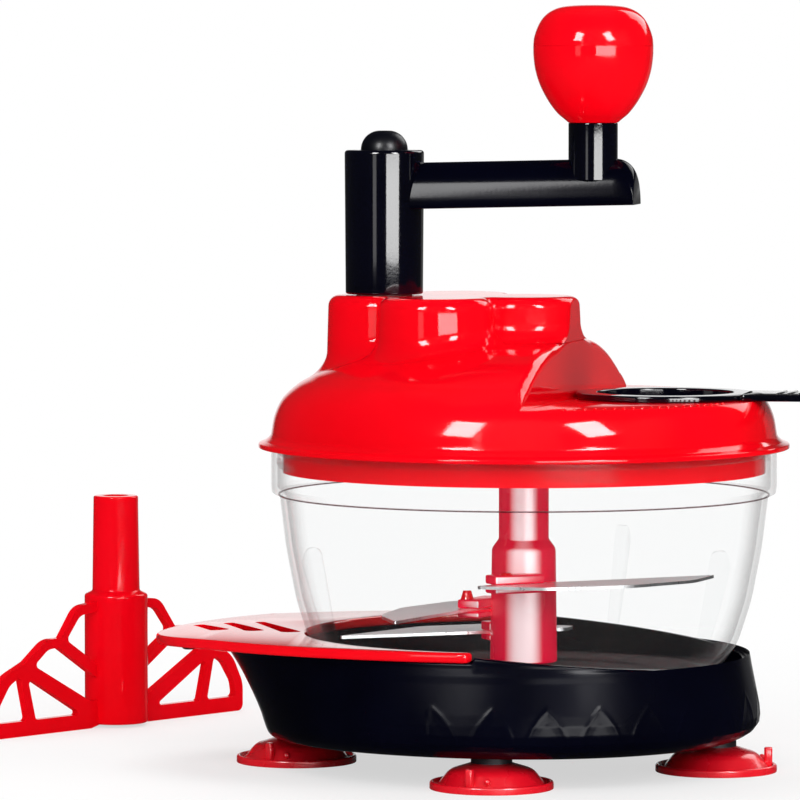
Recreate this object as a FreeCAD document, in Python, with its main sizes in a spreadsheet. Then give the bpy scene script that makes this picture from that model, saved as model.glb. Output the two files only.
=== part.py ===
import FreeCAD, Part
import math
import os
import re
import Sketcher

# Crank food chopper: suction-cup base, clear bowl, geared lid, crank with knob,
# three-blade shaft, lattice beater and egg separator.  Lengths are millimetres.
# All pieces are drawn about the bowl axis and then moved to it by expression.

doc = FreeCAD.newDocument("CrankFoodChopper")
V = FreeCAD.Vector
Rot = FreeCAD.Rotation

SIZES = [
    ("axis_x", 49.5, "bowl axis from the middle of the set, along the set"),
    ("axis_y", -38.5, "bowl axis from the middle of the set, across"),
    ("bowl_radius", 100.0, "outside radius of the bowl mouth"),
    ("bowl_wall", 2.4, "bowl wall"),
    ("floor_z", 36.5, "underside of the bowl foot"),
    ("mouth_z", 127.2, "top of the bowl rim"),
    ("lid_wall", 2.2, "lid wall"),
    ("tower_rise", 59.8, "top of the lid tower above the bowl rim"),
    ("ledge_rise", 19.8, "flat ledge above the bowl rim"),
    ("ledge_cut_x", 20.8, "face where tower and dome are cut away for the ledge"),
    ("ledge_cut_turn", 3.7, "turn of that face about the bowl axis, degrees"),
    ("lobe_radius", 21.5, "radius of each lobe of the tower"),
    ("gear_module", 1.5, "tooth module"),
    ("crank_teeth", 50, "teeth on the crank gear"),
    ("output_teeth", 25, "teeth on the output gear"),
    ("gear_width", 7.5, "face width of both gears"),
    ("port_x", 56.5, "feed port centre from the bowl axis"),
    ("port_radius", 30.0, "inside radius of the feed port"),
    ("shaft_radius", 5.0, "crank shaft radius"),
    ("running_gap", 0.08, "radial clearance of turning fits"),
    ("column_radius", 15.8, "crank column radius"),
    ("column_rise", 57.4, "column height above the tower bearing to its top"),
    ("arm_reach", 83.75, "crank axis to knob axis"),
    ("arm_width", 20.0, "width of the crank arm"),
    ("arm_depth", 18.2, "height of the crank arm"),
    ("arm_tilt", 1.3, "rise of the arm, degrees"),
    ("stem_radius", 9.75, "radius of the stem below the knob"),
    ("knob_radius", 23.7, "largest knob radius"),
    ("knob_height", 46.2, "knob height"),
    ("button_radius", 9.3, "release button radius"),
    ("pin_radius", 4.0, "bowl pin and knob pin radius"),
    ("tube_radius", 9.9, "upper tube of the blade shaft"),
    ("collar_radius", 13.3, "blade collar radius"),
    ("hex_across", 10.0, "drive hexagon across flats"),
    ("blade_gap", 20.0, "blade tip inside the bowl mouth radius"),
    ("blade_thick", 1.2, "blade thickness"),
    ("cup_radius", 24.0, "suction cup radius"),
    ("plate_z", 12.6, "underside of the base plate"),
    ("deck_overhang", 48.0, "tip of the red deck beyond the bowl radius"),
    ("deck_thick", 4.0, "deck thickness"),
    ("handle_reach", 135.0, "end of the egg separator handle from the bowl axis"),
    ("beater_reach", 77.0, "half span of the beater"),
    ("beater_height", 96.9, "beater height"),
    ("beater_x", -194.0, "beater axis from the bowl axis, along the set"),
    ("beater_y", 115.0, "beater axis from the bowl axis, across"),
]
NAMES = {row[0] for row in SIZES}

sheet = doc.addObject("Spreadsheet::Sheet", "Sizes")
for line, (alias, value, note) in enumerate(SIZES, 1):
    sheet.set("A%d" % line, alias)
    sheet.set("B%d" % line, str(value))
    sheet.setAlias("B%d" % line, alias)
    sheet.set("C%d" % line, note)
doc.recompute()


def ex(text):
    """A formula in the named sizes, written for the expression engine."""
    return re.sub(r"[a-z][a-z_]+", lambda w: "Sizes." + w.group(0) if w.group(0) in NAMES else w.group(0),
                  str(text))


def num(text):
    value = sheet.evalExpression(ex(text))
    return float(getattr(value, "Value", value))


def bind(obj, **props):
    for prop, formula in props.items():
        obj.setExpression(prop, ex(formula))
    return obj


def put(obj, x=0, y=0, z=0, turn=None):
    """Place an object; the three distances stay bound to the sheet."""
    obj.Placement = FreeCAD.Placement(V(num(x), num(y), num(z)), turn if turn else Rot())
    for axis, formula in (("x", x), ("y", y), ("z", z)):
        obj.setExpression(".Placement.Base." + axis, ex(formula))
    return obj


def corner_ends(points, index):
    """Where a rounded corner starts, ends and has its centre."""
    x, y, r = points[index]
    here = V(x, y, 0)
    back = V(points[index - 1][0] - x, points[index - 1][1] - y, 0).normalize()
    ahead = V(points[(index + 1) % len(points)][0] - x, points[(index + 1) % len(points)][1] - y, 0).normalize()
    half = math.acos(max(-1.0, min(1.0, back.dot(ahead)))) / 2
    middle = (back + ahead).normalize()
    return (here + back * (r / math.tan(half)), here + ahead * (r / math.tan(half)),
            here + middle * (r / math.sin(half)), back.cross(ahead).z < 0)


def draw(sketch, corners):
    """Closed outline of straight lines with rounded corners, every corner tied to the sheet."""
    corners = [tuple(c) + ((0,) if len(c) == 2 else ()) for c in corners]
    points = [(num(a), num(b), num(c)) for a, b, c in corners]
    count = len(points)
    ends = [corner_ends(points, i) if points[i][2] > 0 else None for i in range(count)]
    lines = []
    for i in range(count):
        j = (i + 1) % count
        start = ends[i][1] if ends[i] else V(points[i][0], points[i][1], 0)
        stop = ends[j][0] if ends[j] else V(points[j][0], points[j][1], 0)
        lines.append(sketch.addGeometry(Part.LineSegment(start, stop), False))
    rules = []
    for i in range(count):
        before, after = lines[i - 1], lines[i]
        if ends[i]:
            first, last, centre, left = ends[i]
            a0 = math.atan2(first.y - centre.y, first.x - centre.x)
            a1 = math.atan2(last.y - centre.y, last.x - centre.x)
            if not left:
                a0, a1 = a1, a0
            arc = sketch.addGeometry(Part.ArcOfCircle(
                Part.Circle(centre, V(0, 0, 1), points[i][2]), a0, a1), False)
            mark = sketch.addGeometry(Part.Point(V(points[i][0], points[i][1], 0)), True)
            one, two = (1, 2) if left else (2, 1)
            sketch.addConstraint(Sketcher.Constraint("Tangent", before, 2, arc, one))
            sketch.addConstraint(Sketcher.Constraint("Tangent", arc, two, after, 1))
            sketch.addConstraint(Sketcher.Constraint("PointOnObject", mark, 1, before))
            sketch.addConstraint(Sketcher.Constraint("PointOnObject", mark, 1, after))
            rules.append((sketch.addConstraint(Sketcher.Constraint("Radius", arc, points[i][2])), corners[i][2]))
            held = mark
        else:
            sketch.addConstraint(Sketcher.Constraint("Coincident", before, 2, after, 1))
            held = after
        for kind, value, formula in (("DistanceX", points[i][0], corners[i][0]),
                                     ("DistanceY", points[i][1], corners[i][1])):
            if abs(value) < 1e-9:
                axis = -2 if kind == "DistanceX" else -1
                sketch.addConstraint(Sketcher.Constraint("PointOnObject", held, 1, axis))
            else:
                rule = sketch.addConstraint(Sketcher.Constraint(kind, -1, 1, held, 1, value))
                rules.append((rule, formula))
    for rule, formula in rules:
        if re.search(r"[a-z]", str(formula)):
            sketch.setExpression("Constraints[%d]" % rule, ex(formula))


def new_sketch(body, name, role):
    sketch = body.newObject("Sketcher::SketchObject", name)
    plane = next(f for f in body.Origin.OriginFeatures if f.Role == role)
    sketch.AttachmentSupport = [(plane, "")]
    sketch.MapMode = "FlatFace"
    return sketch


def turned(name, corners, degrees=360):
    """A body turned about the vertical axis; corners are (radius, height, rounding)."""
    body = doc.addObject("PartDesign::Body", name)
    sketch = new_sketch(body, name + "_profile", "XZ_Plane")
    draw(sketch, corners)
    turn = body.newObject("PartDesign::Revolution", name + "_turn")
    turn.Profile = sketch
    turn.ReferenceAxis = (sketch, ["V_Axis"])
    turn.Angle = degrees
    sketch.Visibility = False
    return body


def slab(name, corners, thickness, **where):
    """A body cut from a flat plate; corners are (x, y, rounding)."""
    body = doc.addObject("PartDesign::Body", name)
    sketch = new_sketch(body, name + "_outline", "XY_Plane")
    draw(sketch, corners)
    pad = body.newObject("PartDesign::Pad", name + "_pad")
    pad.Profile = sketch
    bind(pad, Length=thickness)
    sketch.Visibility = False
    return put(body, **where)


def rod(name, radius, height, **where):
    return put(bind(doc.addObject("Part::Cylinder", name), Radius=radius, Height=height), **where)


def taper(name, low, high, height, **where):
    return put(bind(doc.addObject("Part::Cone", name), Radius1=low, Radius2=high, Height=height), **where)


def block(name, long, wide, tall, **where):
    return put(bind(doc.addObject("Part::Box", name), Length=long, Width=wide, Height=tall), **where)


def hexagon(name, across, height, **where):
    prism = doc.addObject("Part::Prism", name)
    prism.Polygon = 6
    return put(bind(prism, Circumradius="(%s) / 1.7320508" % across, Height=height), **where)


def fuse(name, *things):
    out = doc.addObject("Part::MultiFuse", name)
    out.Shapes = list(things)
    return out


def cut(name, base, *tools):
    out = doc.addObject("Part::Cut", name)
    out.Base = base
    out.Tool = tools[0] if len(tools) == 1 else fuse(name + "_tools", *tools)
    return out


def common(name, one, two):
    out = doc.addObject("Part::MultiCommon", name)
    out.Shapes = [one, two]
    return out


nodes = {}


def node(name, obj, x="axis_x", y="axis_y", z=0, turn=None):
    """Register a finished piece and stand it on the bowl axis."""
    put(obj, x, y, z, turn)
    obj.Label = name
    nodes[name] = obj
    return obj


def about_z(angle):
    return Rot(V(0, 0, 1), angle)


def polar(radius, angle):
    return ("(%s) * %.9f" % (radius, math.cos(math.radians(angle))),
            "(%s) * %.9f" % (radius, math.sin(math.radians(angle))))


# ---------------------------------------------------------------- base
def hull_loft(name, sections, ruled):
    """Skin over plans that are round at the stern and elliptic at the prow."""
    sketches = []
    for index, (height, reach, half) in enumerate(sections):
        sk = doc.addObject("Sketcher::SketchObject", "%s_plan_%d" % (name, index))
        r, a = num(half), num(reach)
        stern = sk.addGeometry(Part.ArcOfCircle(Part.Circle(V(0, 0, 0), V(0, 0, 1), r),
                                                -math.pi / 2, math.pi / 2), False)
        oval = Part.Ellipse(V(-a, 0, 0), V(0, -r, 0), V(0, 0, 0))
        sk.addGeometry(Part.ArcOfEllipse(oval, -math.pi / 2, math.pi / 2), False)
        rule = sk.addConstraint(Sketcher.Constraint("Radius", stern, r))
        sk.setExpression("Constraints[%d]" % rule, ex(half))
        put(sk, z=height)
        sketches.append(sk)
    loft = doc.addObject("Part::Loft", name)
    loft.Sections = sketches
    loft.Solid = True
    loft.Ruled = ruled
    return loft


def hull_rows(rows, inset):
    """Plans as (height, prow reach beyond the bowl radius, half width beyond it)."""
    return [(z, "bowl_radius + %s" % (a - inset), "bowl_radius + %s" % (b - inset)) for z, a, b in rows]


FLANK = [("plate_z + (floor_z + 5.5 - plate_z) * %.3f" % share, reach, half) for share, reach, half in (
    (0, 1.0, -15), (0.045, 1.9, -12.2), (0.1, 2.5, -9.6), (0.165, 3.2, -7.5), (0.25, 4.0, -6.5), (0.38, 5.2, -6.4),
    (0.52, 7.1, -7.0), (0.66, 9.2, -7.8), (0.79, 11.3, -8.6), (0.9, 13.2, -9.3), (1, 15.0, -10))]
BROW = [("floor_z + 5.5", 15, -10), ("floor_z + 9.5", 17.8, -10.8), ("floor_z + 11.9", 20.2, -11),
        ("floor_z + 13.3", 22, -11)]
hull_top = "floor_z + 13.3"
flank = hull_loft("hull_flank", hull_rows(FLANK, 0), True)
brow = hull_loft("hull_brow", hull_rows(BROW, 0), True)
stern_wall = common("hull_stern_wall", rod("stern_ring", "bowl_radius - 11.2", 14.5, z="floor_z + 2"),
                    block("stern_half", "bowl_radius + 20", 300, 60, x=-4, y=-150, z="floor_z - 5"))
hollow = cut("hull_hollow",
             hull_loft("hull_inside", hull_rows(FLANK[:10] + [("floor_z + 10.5", 15.6, -11)], 2.3), True),
             rod("recess_keep", "bowl_radius - 9.5", 40, z="floor_z - 2.5"))
SCREWS_BASE = [(50, 50), (50, -50), (-60, 52), (-60, -52)]
pillars, pilots, base_screws = [], [], []
for i, (x, y) in enumerate(SCREWS_BASE, 1):
    at = {"x": "bowl_radius * %.3f" % (x / 100), "y": "bowl_radius * %.3f" % (y / 100)}
    pillars.append(rod("hull_pillar_%d" % i, 4.2, "floor_z - plate_z - 4", z="plate_z + 3", **at))
    pilots.append(rod("hull_pilot_%d" % i, 1.55, 14, z="plate_z + 2", **at))
SCREWS_DECK = [(-95, 38), (-95, -38)]
deck_holes = []
for i, (x, y) in enumerate(SCREWS_DECK, 1):
    at = {"x": "bowl_radius * %.3f" % (x / 100), "y": "bowl_radius * %.3f" % (y / 100)}
    deck_holes.append(rod("hull_deck_hole_%d" % i, 1.6, 12, z="floor_z + 5", **at))
sheer = block("stern_sheer", 200, 300, 40, x=-12, y=-150, z="floor_z + 16.12", turn=Rot(V(0, 1, 0), 5.14))
recess = rod("bowl_recess", "bowl_radius - 13.5", 60, z="floor_z")
hull_solid = cut("hull_solid", fuse("hull_mass", flank, brow, stern_wall), hollow)
hull = cut("base_hull_cut", fuse("hull_with_pillars", hull_solid, *pillars), recess, sheer, *(pilots + deck_holes))
node("base_hull", hull)

# Red deck: crescent on the prow with three slanted drain slots and a drooping tip.
deck_plan = doc.addObject("Sketcher::SketchObject", "deck_plan")
a, b = num("bowl_radius + deck_overhang"), num("bowl_radius - 9.5")
deck_plan.addGeometry(Part.ArcOfEllipse(Part.Ellipse(V(-a, 0, 0), V(0, -b, 0), V(0, 0, 0)),
                                        -math.pi / 2, math.pi / 2), False)
deck_plan.addGeometry(Part.LineSegment(V(0, b, 0), V(0, -b, 0)), False)
put(deck_plan, z=hull_top)
deck_sheet = doc.addObject("Part::Extrusion", "deck_sheet")
deck_sheet.Base = deck_plan
deck_sheet.DirMode = "Custom"
deck_sheet.Dir = V(0, 0, 1)
deck_sheet.Solid = True
bind(deck_sheet, LengthFwd="deck_thick")
slots = []
for i, (x, length) in enumerate([(-126.6, 28), (-114, 33), (-100, 41)], 1):
    slots.append(slab("deck_slot_%d" % i, [(-length / 2, -1.3, 1.1), (length / 2, -2.8, 2.5),
                                           (length / 2, 2.8, 2.5), (-length / 2, 1.3, 1.1)], 20,
                      x="%.1f - bowl_radius" % (x + 100), z="floor_z + 10", turn=about_z(-61)))
deck = cut("base_deck_cut", deck_sheet,
           rod("deck_bore", "bowl_radius - 13.5", 60, z="floor_z"),
           block("deck_end", 60, 300, 40, x=-4.2, y=-150, z="floor_z"),
           block("deck_droop", 80, 300, 20, x="-bowl_radius - 15.44", y=-150, z=hull_top + " + deck_thick",
                 turn=Rot(V(0, 0, 1), 180) * Rot(V(0, 1, 0), 4.0)),
           *(slots + [rod("deck_pilot_%d" % i, 1.35, 3.2, x="bowl_radius * %.3f" % (x / 100),
                          y="bowl_radius * %.3f" % (y / 100), z=hull_top)
                      for i, (x, y) in enumerate(SCREWS_DECK, 1)]))
node("base_deck", deck)
node("deck_stop", turned("deck_stop_turn", [(0, "floor_z + 7.7"), (3.1, "floor_z + 7.7", 1.6), (3.1, hull_top),
                                            (0, hull_top)]), "axis_x - bowl_radius - 36.012")


def screw(name, head, shank, length, x, y, z, up=True):
    """Pan-head screw standing on its head, shank upward from z."""
    body = turned(name, [(0, -1.6), (head * 0.7, -1.6), (head, -1.0), (head, 0), (shank, 0),
                         (shank, length - 1), (0.3, length), (0, length)])
    return node(name, body, "axis_x + (%s)" % x, "axis_y + (%s)" % y, z)


for i, (x, y) in enumerate(SCREWS_DECK, 1):
    screw("deck_screw_%d" % i, 2.8, 1.3, 5.8, "bowl_radius * %.3f" % (x / 100),
          "bowl_radius * %.3f" % (y / 100), "floor_z + 10.5")
for i, (x, y) in enumerate(SCREWS_BASE, 1):
    screw("base_screw_%d" % i, 2.8, 1.5, 12.5, "bowl_radius * %.3f" % (x / 100),
          "bowl_radius * %.3f" % (y / 100), "plate_z + 1.8")

# Base plate closes the hull from below and carries a collar for each cup.
CUPS = [("prow", "-bowl_radius + 8", 0, -109), ("front", 0, "-bowl_radius + 28", -104),
        ("back", 0, "bowl_radius - 28", 191), ("stern", "bowl_radius - 23", 0, 11)]
floor_sheet = hull_loft("plate_sheet", [("plate_z", "bowl_radius - 1.6", "bowl_radius - 17.6"),
                                        ("plate_z + 3", "bowl_radius - 1.6", "bowl_radius - 17.6")], True)
collars = [rod("plate_collar_" + k, 8, 2.6, x=x, y=y, z="plate_z - 2.6") for k, x, y, _ in CUPS]
holes = [rod("plate_cup_hole_" + k, "pin_radius + 0.1", 20, x=x, y=y, z="plate_z - 8") for k, x, y, _ in CUPS]
for i, (x, y) in enumerate(SCREWS_BASE, 1):
    at = {"x": "bowl_radius * %.3f" % (x / 100), "y": "bowl_radius * %.3f" % (y / 100)}
    holes.append(rod("plate_seat_%d" % i, 3.1, 6.8, z="plate_z - 5", **at))
    holes.append(rod("plate_hole_%d" % i, 1.75, 20, z="plate_z - 5", **at))
node("base_plate", cut("base_plate_cut", fuse("plate_mass", floor_sheet, *collars), *holes))

for key, x, y, tab_angle in CUPS:
    dome = turned("cup_dome_" + key, [
        (0, "plate_z - 5"), (6, "plate_z - 5.2", 2), ("cup_radius - 9.3", 5.3, 6), ("cup_radius - 4.8", 0.9, 1),
        ("cup_radius - 3.2", 0), ("cup_radius", 0), ("cup_radius", 3, 0.5), ("cup_radius - 1.3", 3, 0.5),
        ("cup_radius - 1.9", 1.7, 0.6), ("cup_radius - 3.3", 1.9, 0.4), ("cup_radius - 7.6", 7.4, 7),
        (8, "plate_z - 2.6"),
        ("pin_radius", "plate_z - 2.6"), ("pin_radius", "plate_z + 3"), ("pin_radius + 1.8", "plate_z + 3"),
        ("pin_radius + 1.8", "plate_z + 4.2"), ("pin_radius - 1", "plate_z + 5.6"), (0, "plate_z + 5.6")])
    tab = slab("cup_tab_" + key, [(0, -1.5, 0.8), (3.2, -1.5, 0.8), (3.2, 1.5, 0.8), (0, 1.5, 0.8)], 8.1,
               x=polar("cup_radius - 5", tab_angle)[0], y=polar("cup_radius - 5", tab_angle)[1],
               z=1.4, turn=about_z(tab_angle))
    node("suction_cup_" + key, fuse("suction_cup_%s_whole" % key, dome, tab),
         "axis_x + (%s)" % x, "axis_y + (%s)" % y)

# ---------------------------------------------------------------- bowl
BOWL_OUT = [(0, "floor_z"), ("bowl_radius - 24", "floor_z", 12), ("bowl_radius - 15", "floor_z + 13.5", 20),
            ("bowl_radius - 9.8", "floor_z + 30.5", 60), ("bowl_radius - 5.8", "mouth_z - 39.2", 80),
            ("bowl_radius - 3.3", "mouth_z - 18.2"), ("bowl_radius", "mouth_z - 17.2", 0.6)]
bowl_out = turned("bowl_outside", BOWL_OUT + [("bowl_radius", "mouth_z", 0.6), (0, "mouth_z")])
bowl_in = turned("bowl_inside", [
    (0, "floor_z + bowl_wall"), ("bowl_radius - 24.1 - bowl_wall", "floor_z + bowl_wall", 10),
    ("bowl_radius - 15 - bowl_wall", "floor_z + 14", 18), ("bowl_radius - 9.8 - bowl_wall", "floor_z + 30.5", 60),
    ("bowl_radius - 5.8 - bowl_wall", "mouth_z - 39.2", 80), ("bowl_radius - 3.3 - bowl_wall", "mouth_z - 18.8"),
    ("bowl_radius - bowl_wall", "mouth_z - 15.6"), ("bowl_radius - bowl_wall", "mouth_z + 3"), (0, "mouth_z + 3")])
ribs = []
for i, angle in enumerate((213, 338, 73), 1):
    lift = Rot(V(0, 0, 1), angle) * Rot(V(1, 0, 0), 90)
    ribs.append(slab("bowl_rib_%d" % i, [
        ("bowl_radius - 6", "floor_z + 1"), ("bowl_radius - 6", "mouth_z - 30"),
        ("bowl_radius - 12", "mouth_z - 35.5", 5), ("bowl_radius - 21.5", "floor_z + 9", 8),
        ("bowl_radius - 42", "floor_z + 1")], 3.6,
        x=polar(1.8, angle + 90)[0], y=polar(1.8, angle + 90)[1], turn=lift))


def arc_lug(name, inner, outer, low, high, centre, width):
    """Part ring between two radii, centred on an angle."""
    ring = turned(name, [(inner, low), (outer, low), (outer, high), (inner, high)], width)
    return put(ring, turn=about_z(centre - width / 2))


RAMPS = (-49, 41, 131, 221)
ramps = [arc_lug("bowl_ramp_%d" % i, "bowl_radius - 3.9", "bowl_radius - 1", "mouth_z - 6.7",
                 "mouth_z - 4.7", angle, 18) for i, angle in enumerate(RAMPS, 1)]
boss_top = "floor_z + 9.5"
bowl = fuse("bowl_mass", cut("bowl_shell", bowl_out, bowl_in),
            common("bowl_ribs", fuse("rib_set", *ribs), bowl_out), *ramps,
            rod("bowl_boss", 8, 9, z="floor_z + 0.5"))
node("bowl", cut("bowl_cut", bowl, rod("pin_socket", "pin_radius + 0.02", 20, z="floor_z + 1.5")))
pin_top = "mouth_z - 22.2"
node("bowl_pin", turned("bowl_pin_turn", [
    (0, "floor_z + 1.5"), ("pin_radius", "floor_z + 1.5"), ("pin_radius", pin_top, 1), (0, pin_top)]))

# ---------------------------------------------------------------- lid
crank_x = "-gear_module * (crank_teeth + output_teeth) / 2"
gear_low = "mouth_z + 3.3"
tower_top = "mouth_z + tower_rise"
ledge = "mouth_z + ledge_rise"
LOBES = [("1", 1.0, 0), ("2", 0.551, -25), ("3", 0.551, 25), ("4", 0.0, 0)]


def tower(name, inset, low, top, rounding):
    lobes = []
    for key, share, y in LOBES:
        lobe = turned("%s_lobe_%s" % (name, key), [
            (0, low), ("lobe_radius - %s" % inset, low), ("lobe_radius - %s - 0.5" % inset, top, rounding),
            (0, top)])
        lobes.append(put(lobe, x="(%s) * %s" % (crank_x, share), y=y))
    core = slab(name + "_core", [("(%s) * 1.0" % crank_x, 0), ("(%s) * 0.551" % crank_x, -25), (0, 0),
                                 ("(%s) * 0.551" % crank_x, 25)],
                "(%s) - (%s)" % (top, low), z=low)
    return fuse(name, core, *lobes)


outer = cut("lid_outer", fuse("lid_outer_mass", turned("lid_dome", [
    (0, "mouth_z - 9.6"), ("bowl_radius - 4.4", "mouth_z - 9.6"), ("bowl_radius - 4.4", "mouth_z"),
    ("bowl_radius + 5", "mouth_z"), ("bowl_radius + 5", "mouth_z + 1.4", 0.5), ("bowl_radius", "mouth_z + 4.8"),
    ("bowl_radius - 1.2", "mouth_z + 16", 14), ("bowl_radius - 21", "mouth_z + 31", 50),
    ("bowl_radius * 0.25", "mouth_z + 43.2", 60), (0, "mouth_z + 43.2")]),
    tower("tower_outer", 0, "mouth_z + 15", tower_top, 4.5)),
    block("ledge_cut", 170, 320, 90, x="ledge_cut_x - 160 * tan(ledge_cut_turn * 1deg)", y=-160, z=ledge,
          turn=about_z(-num("ledge_cut_turn"))))
inner = cut("lid_inner", fuse("lid_inner_mass", turned("lid_dome_inside", [
    (0, "mouth_z - 20"), ("bowl_radius - 6.8", "mouth_z - 20"), ("bowl_radius - 6.8", "mouth_z + 1.6"),
    ("bowl_radius - 2.6", "mouth_z + 2.4"), ("bowl_radius - 2.6 ", "mouth_z + 5"),
    ("bowl_radius - 3.6", "mouth_z + 14.8", 12), ("bowl_radius - 22", "mouth_z + 28.8", 50),
    ("bowl_radius * 0.25", "mouth_z + 43.2 - lid_wall", 60), (0, "mouth_z + 43.2 - lid_wall")]),
    tower("tower_inner", num("lid_wall"), "mouth_z + 13", tower_top + " - lid_wall", 3)),
    block("ledge_cut_inside", 170, 320, 90, x="ledge_cut_x - lid_wall - 160 * tan(ledge_cut_turn * 1deg)", y=-160,
          z=ledge + " - lid_wall", turn=about_z(-num("ledge_cut_turn"))))
SCREWS_LID = [(-10, 75), (-10, -75), (-62, 62), (-62, -62)]
lid_bosses, lid_pilots, cover_holes = [], [], []
for i, (x, y) in enumerate(SCREWS_LID, 1):
    at = {"x": "bowl_radius * %.3f" % (x / 100), "y": "bowl_radius * %.3f" % (y / 100)}
    lid_bosses.append(rod("lid_boss_%d" % i, 4, 40, z="mouth_z - 0.2", **at))
    lid_pilots.append(rod("lid_pilot_%d" % i, 1.35, 13, z="mouth_z - 0.5", **at))
    cover_holes.append(rod("cover_hole_%d" % i, 1.6, 12, z="mouth_z - 6", **at))
lid_bosses.append(rod("lid_bearing_boss", 11, 90, x=crank_x, z=tower_top + " - 22"))
lid_bosses.append(rod("lid_spindle_boss", 9, 90, z="mouth_z + 16"))
lid_bosses.append(rod("lid_port_tube", "port_radius + 2.4", 40, x="port_x", z="mouth_z - 3.2"))
within = common("lid_bosses_within", fuse("lid_boss_set", *lid_bosses), outer)
lugs = [arc_lug("lid_lug_%d" % i, "bowl_radius - 5.5", "bowl_radius - 2.8", "mouth_z - 8.2", "mouth_z - 5.2",
                angle + 22, 14) for i, angle in enumerate(RAMPS, 1)]
bush_radius = "shaft_radius + 3"
lid_shell = cut("lid_shell_cut", fuse("lid_mass", cut("lid_skin", outer, inner), within, *lugs),
                rod("lid_bearing_bore", bush_radius + " + 0.03", 60, x=crank_x, z=tower_top + " - 40"),
                rod("lid_spindle_bore", "shaft_radius + running_gap", 14, z="mouth_z + 12"),
                rod("lid_port_bore", "port_radius", 90, x="port_x", z="mouth_z - 20"), *lid_pilots)
node("lid_shell", lid_shell)
node("lid_seal", turned("lid_seal_ring", [
    ("bowl_radius - 4.38", "mouth_z - 3"), ("bowl_radius - 2.8", "mouth_z - 3", 0.5),
    ("bowl_radius - 2.8", "mouth_z", 0.5), ("bowl_radius - 4.38", "mouth_z")]))
node("upper_bush", turned("upper_bush_turn", [
    ("shaft_radius + running_gap", tower_top + " - 20"), (bush_radius, tower_top + " - 20"),
    (bush_radius, tower_top), (bush_radius + " + 3", tower_top), (bush_radius + " + 3", tower_top + " + 1.5"),
    ("shaft_radius + running_gap", tower_top + " + 1.5")]), "axis_x + " + crank_x)
sleeve = "tube_radius + 2.5"
cover = cut("gear_cover_cut", fuse("cover_mass",
            rod("cover_disc", "bowl_radius - 7.2", 2.5, z="mouth_z - 2.7"),
            rod("cover_ring", sleeve + " + 5", 5.2, z="mouth_z - 5.4"),
            rod("cover_crank_seat", 8, 4.4, x=crank_x, z="mouth_z - 4.6")),
            rod("cover_bore", sleeve + " + 2.6", 20, z="mouth_z - 10"),
            rod("cover_crank_bore", "shaft_radius - 1 + running_gap", 20, x=crank_x, z="mouth_z - 3.4"),
            rod("cover_port", "port_radius + 2.8", 20, x="port_x", z="mouth_z - 10"), *cover_holes)
node("gear_cover", cover)
node("output_bush", turned("output_bush_turn", [
    (sleeve + " + running_gap", "mouth_z - 5.4"), (sleeve + " + 2.57", "mouth_z - 5.4"),
    (sleeve + " + 2.57", "mouth_z - 0.2"), (sleeve + " + 4.5", "mouth_z - 0.2"),
    (sleeve + " + 4.5", gear_low), (sleeve + " + running_gap", gear_low)]))
for i, (x, y) in enumerate(SCREWS_LID, 1):
    screw("cover_screw_%d" % i, 2.8, 1.3, 12, "bowl_radius * %.3f" % (x / 100),
          "bowl_radius * %.3f" % (y / 100), "mouth_z - 2.7")


# ---------------------------------------------------------------- gears
def gear_body(name, teeth, turn):
    """Spur gear blank with involute flanks, first tooth on the +X side after turning."""
    module, count = num("gear_module"), int(round(num(teeth)))
    pitch, tip, root = module * count / 2, module * (count / 2 + 0.92), module * (count / 2 - 1.2)
    base = pitch * math.cos(math.radians(20))

    def involute(radius):
        angle = math.acos(min(1.0, base / radius))
        return math.tan(angle) - angle
    half = math.pi / (2 * count) - 0.09 / pitch
    flank_points = []
    for radius in (root, max(base, root + 0.1), pitch, (pitch + tip) / 2, tip):
        drop = involute(pitch) - involute(max(radius, base))
        flank_points.append((radius, half + drop))
    points = []
    for k in range(count):
        mid = 2 * math.pi * k / count
        points += [(r, mid - w) for r, w in flank_points] + [(r, mid + w) for r, w in reversed(flank_points)]
    points = [V(r * math.cos(a), r * math.sin(a), 0) for r, a in points]
    body = doc.addObject("PartDesign::Body", name)
    sketch = new_sketch(body, name + "_teeth", "XY_Plane")
    sketch.addGeometry([Part.LineSegment(p, q) for p, q in zip(points, points[1:] + points[:1])
                        if p.distanceToPoint(q) > 1e-6], False)
    pad = body.newObject("PartDesign::Pad", name + "_pad")
    pad.Profile = sketch
    bind(pad, Length="gear_width")
    return put(body, z=gear_low, turn=about_z(turn))


crank_gear = cut("crank_gear_cut", fuse("crank_gear_mass", gear_body("crank_gear_blank", "crank_teeth", 0),
                 rod("crank_gear_hub", 9, 12, z=gear_low)),
                 rod("crank_gear_bore", "shaft_radius + 0.02", 40, z="mouth_z"),
                 *[rod("crank_gear_window_%d" % k, 8.5, 40, x=polar(22, 60 * k)[0], y=polar(22, 60 * k)[1],
                       z="mouth_z") for k in range(6)])
node("crank_gear", crank_gear, "axis_x + " + crank_x)
web = gear_low + " + gear_width"
output = cut("output_gear_cut", fuse("output_gear_mass", gear_body("output_gear_blank", "output_teeth", 0),
             rod("output_sleeve", sleeve, 8.8, z="mouth_z - 5.4"),
             rod("output_web", sleeve, 2.5, z=web), rod("output_journal", "shaft_radius", 10, z=web)),
             rod("output_bore", "tube_radius + 0.7", 20, z=web + " - 20"))
node("output_gear", fuse("output_gear_whole", output, hexagon("drive_hexagon", "hex_across", 20.5,
                                                             z=web + " - 20")))

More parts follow.
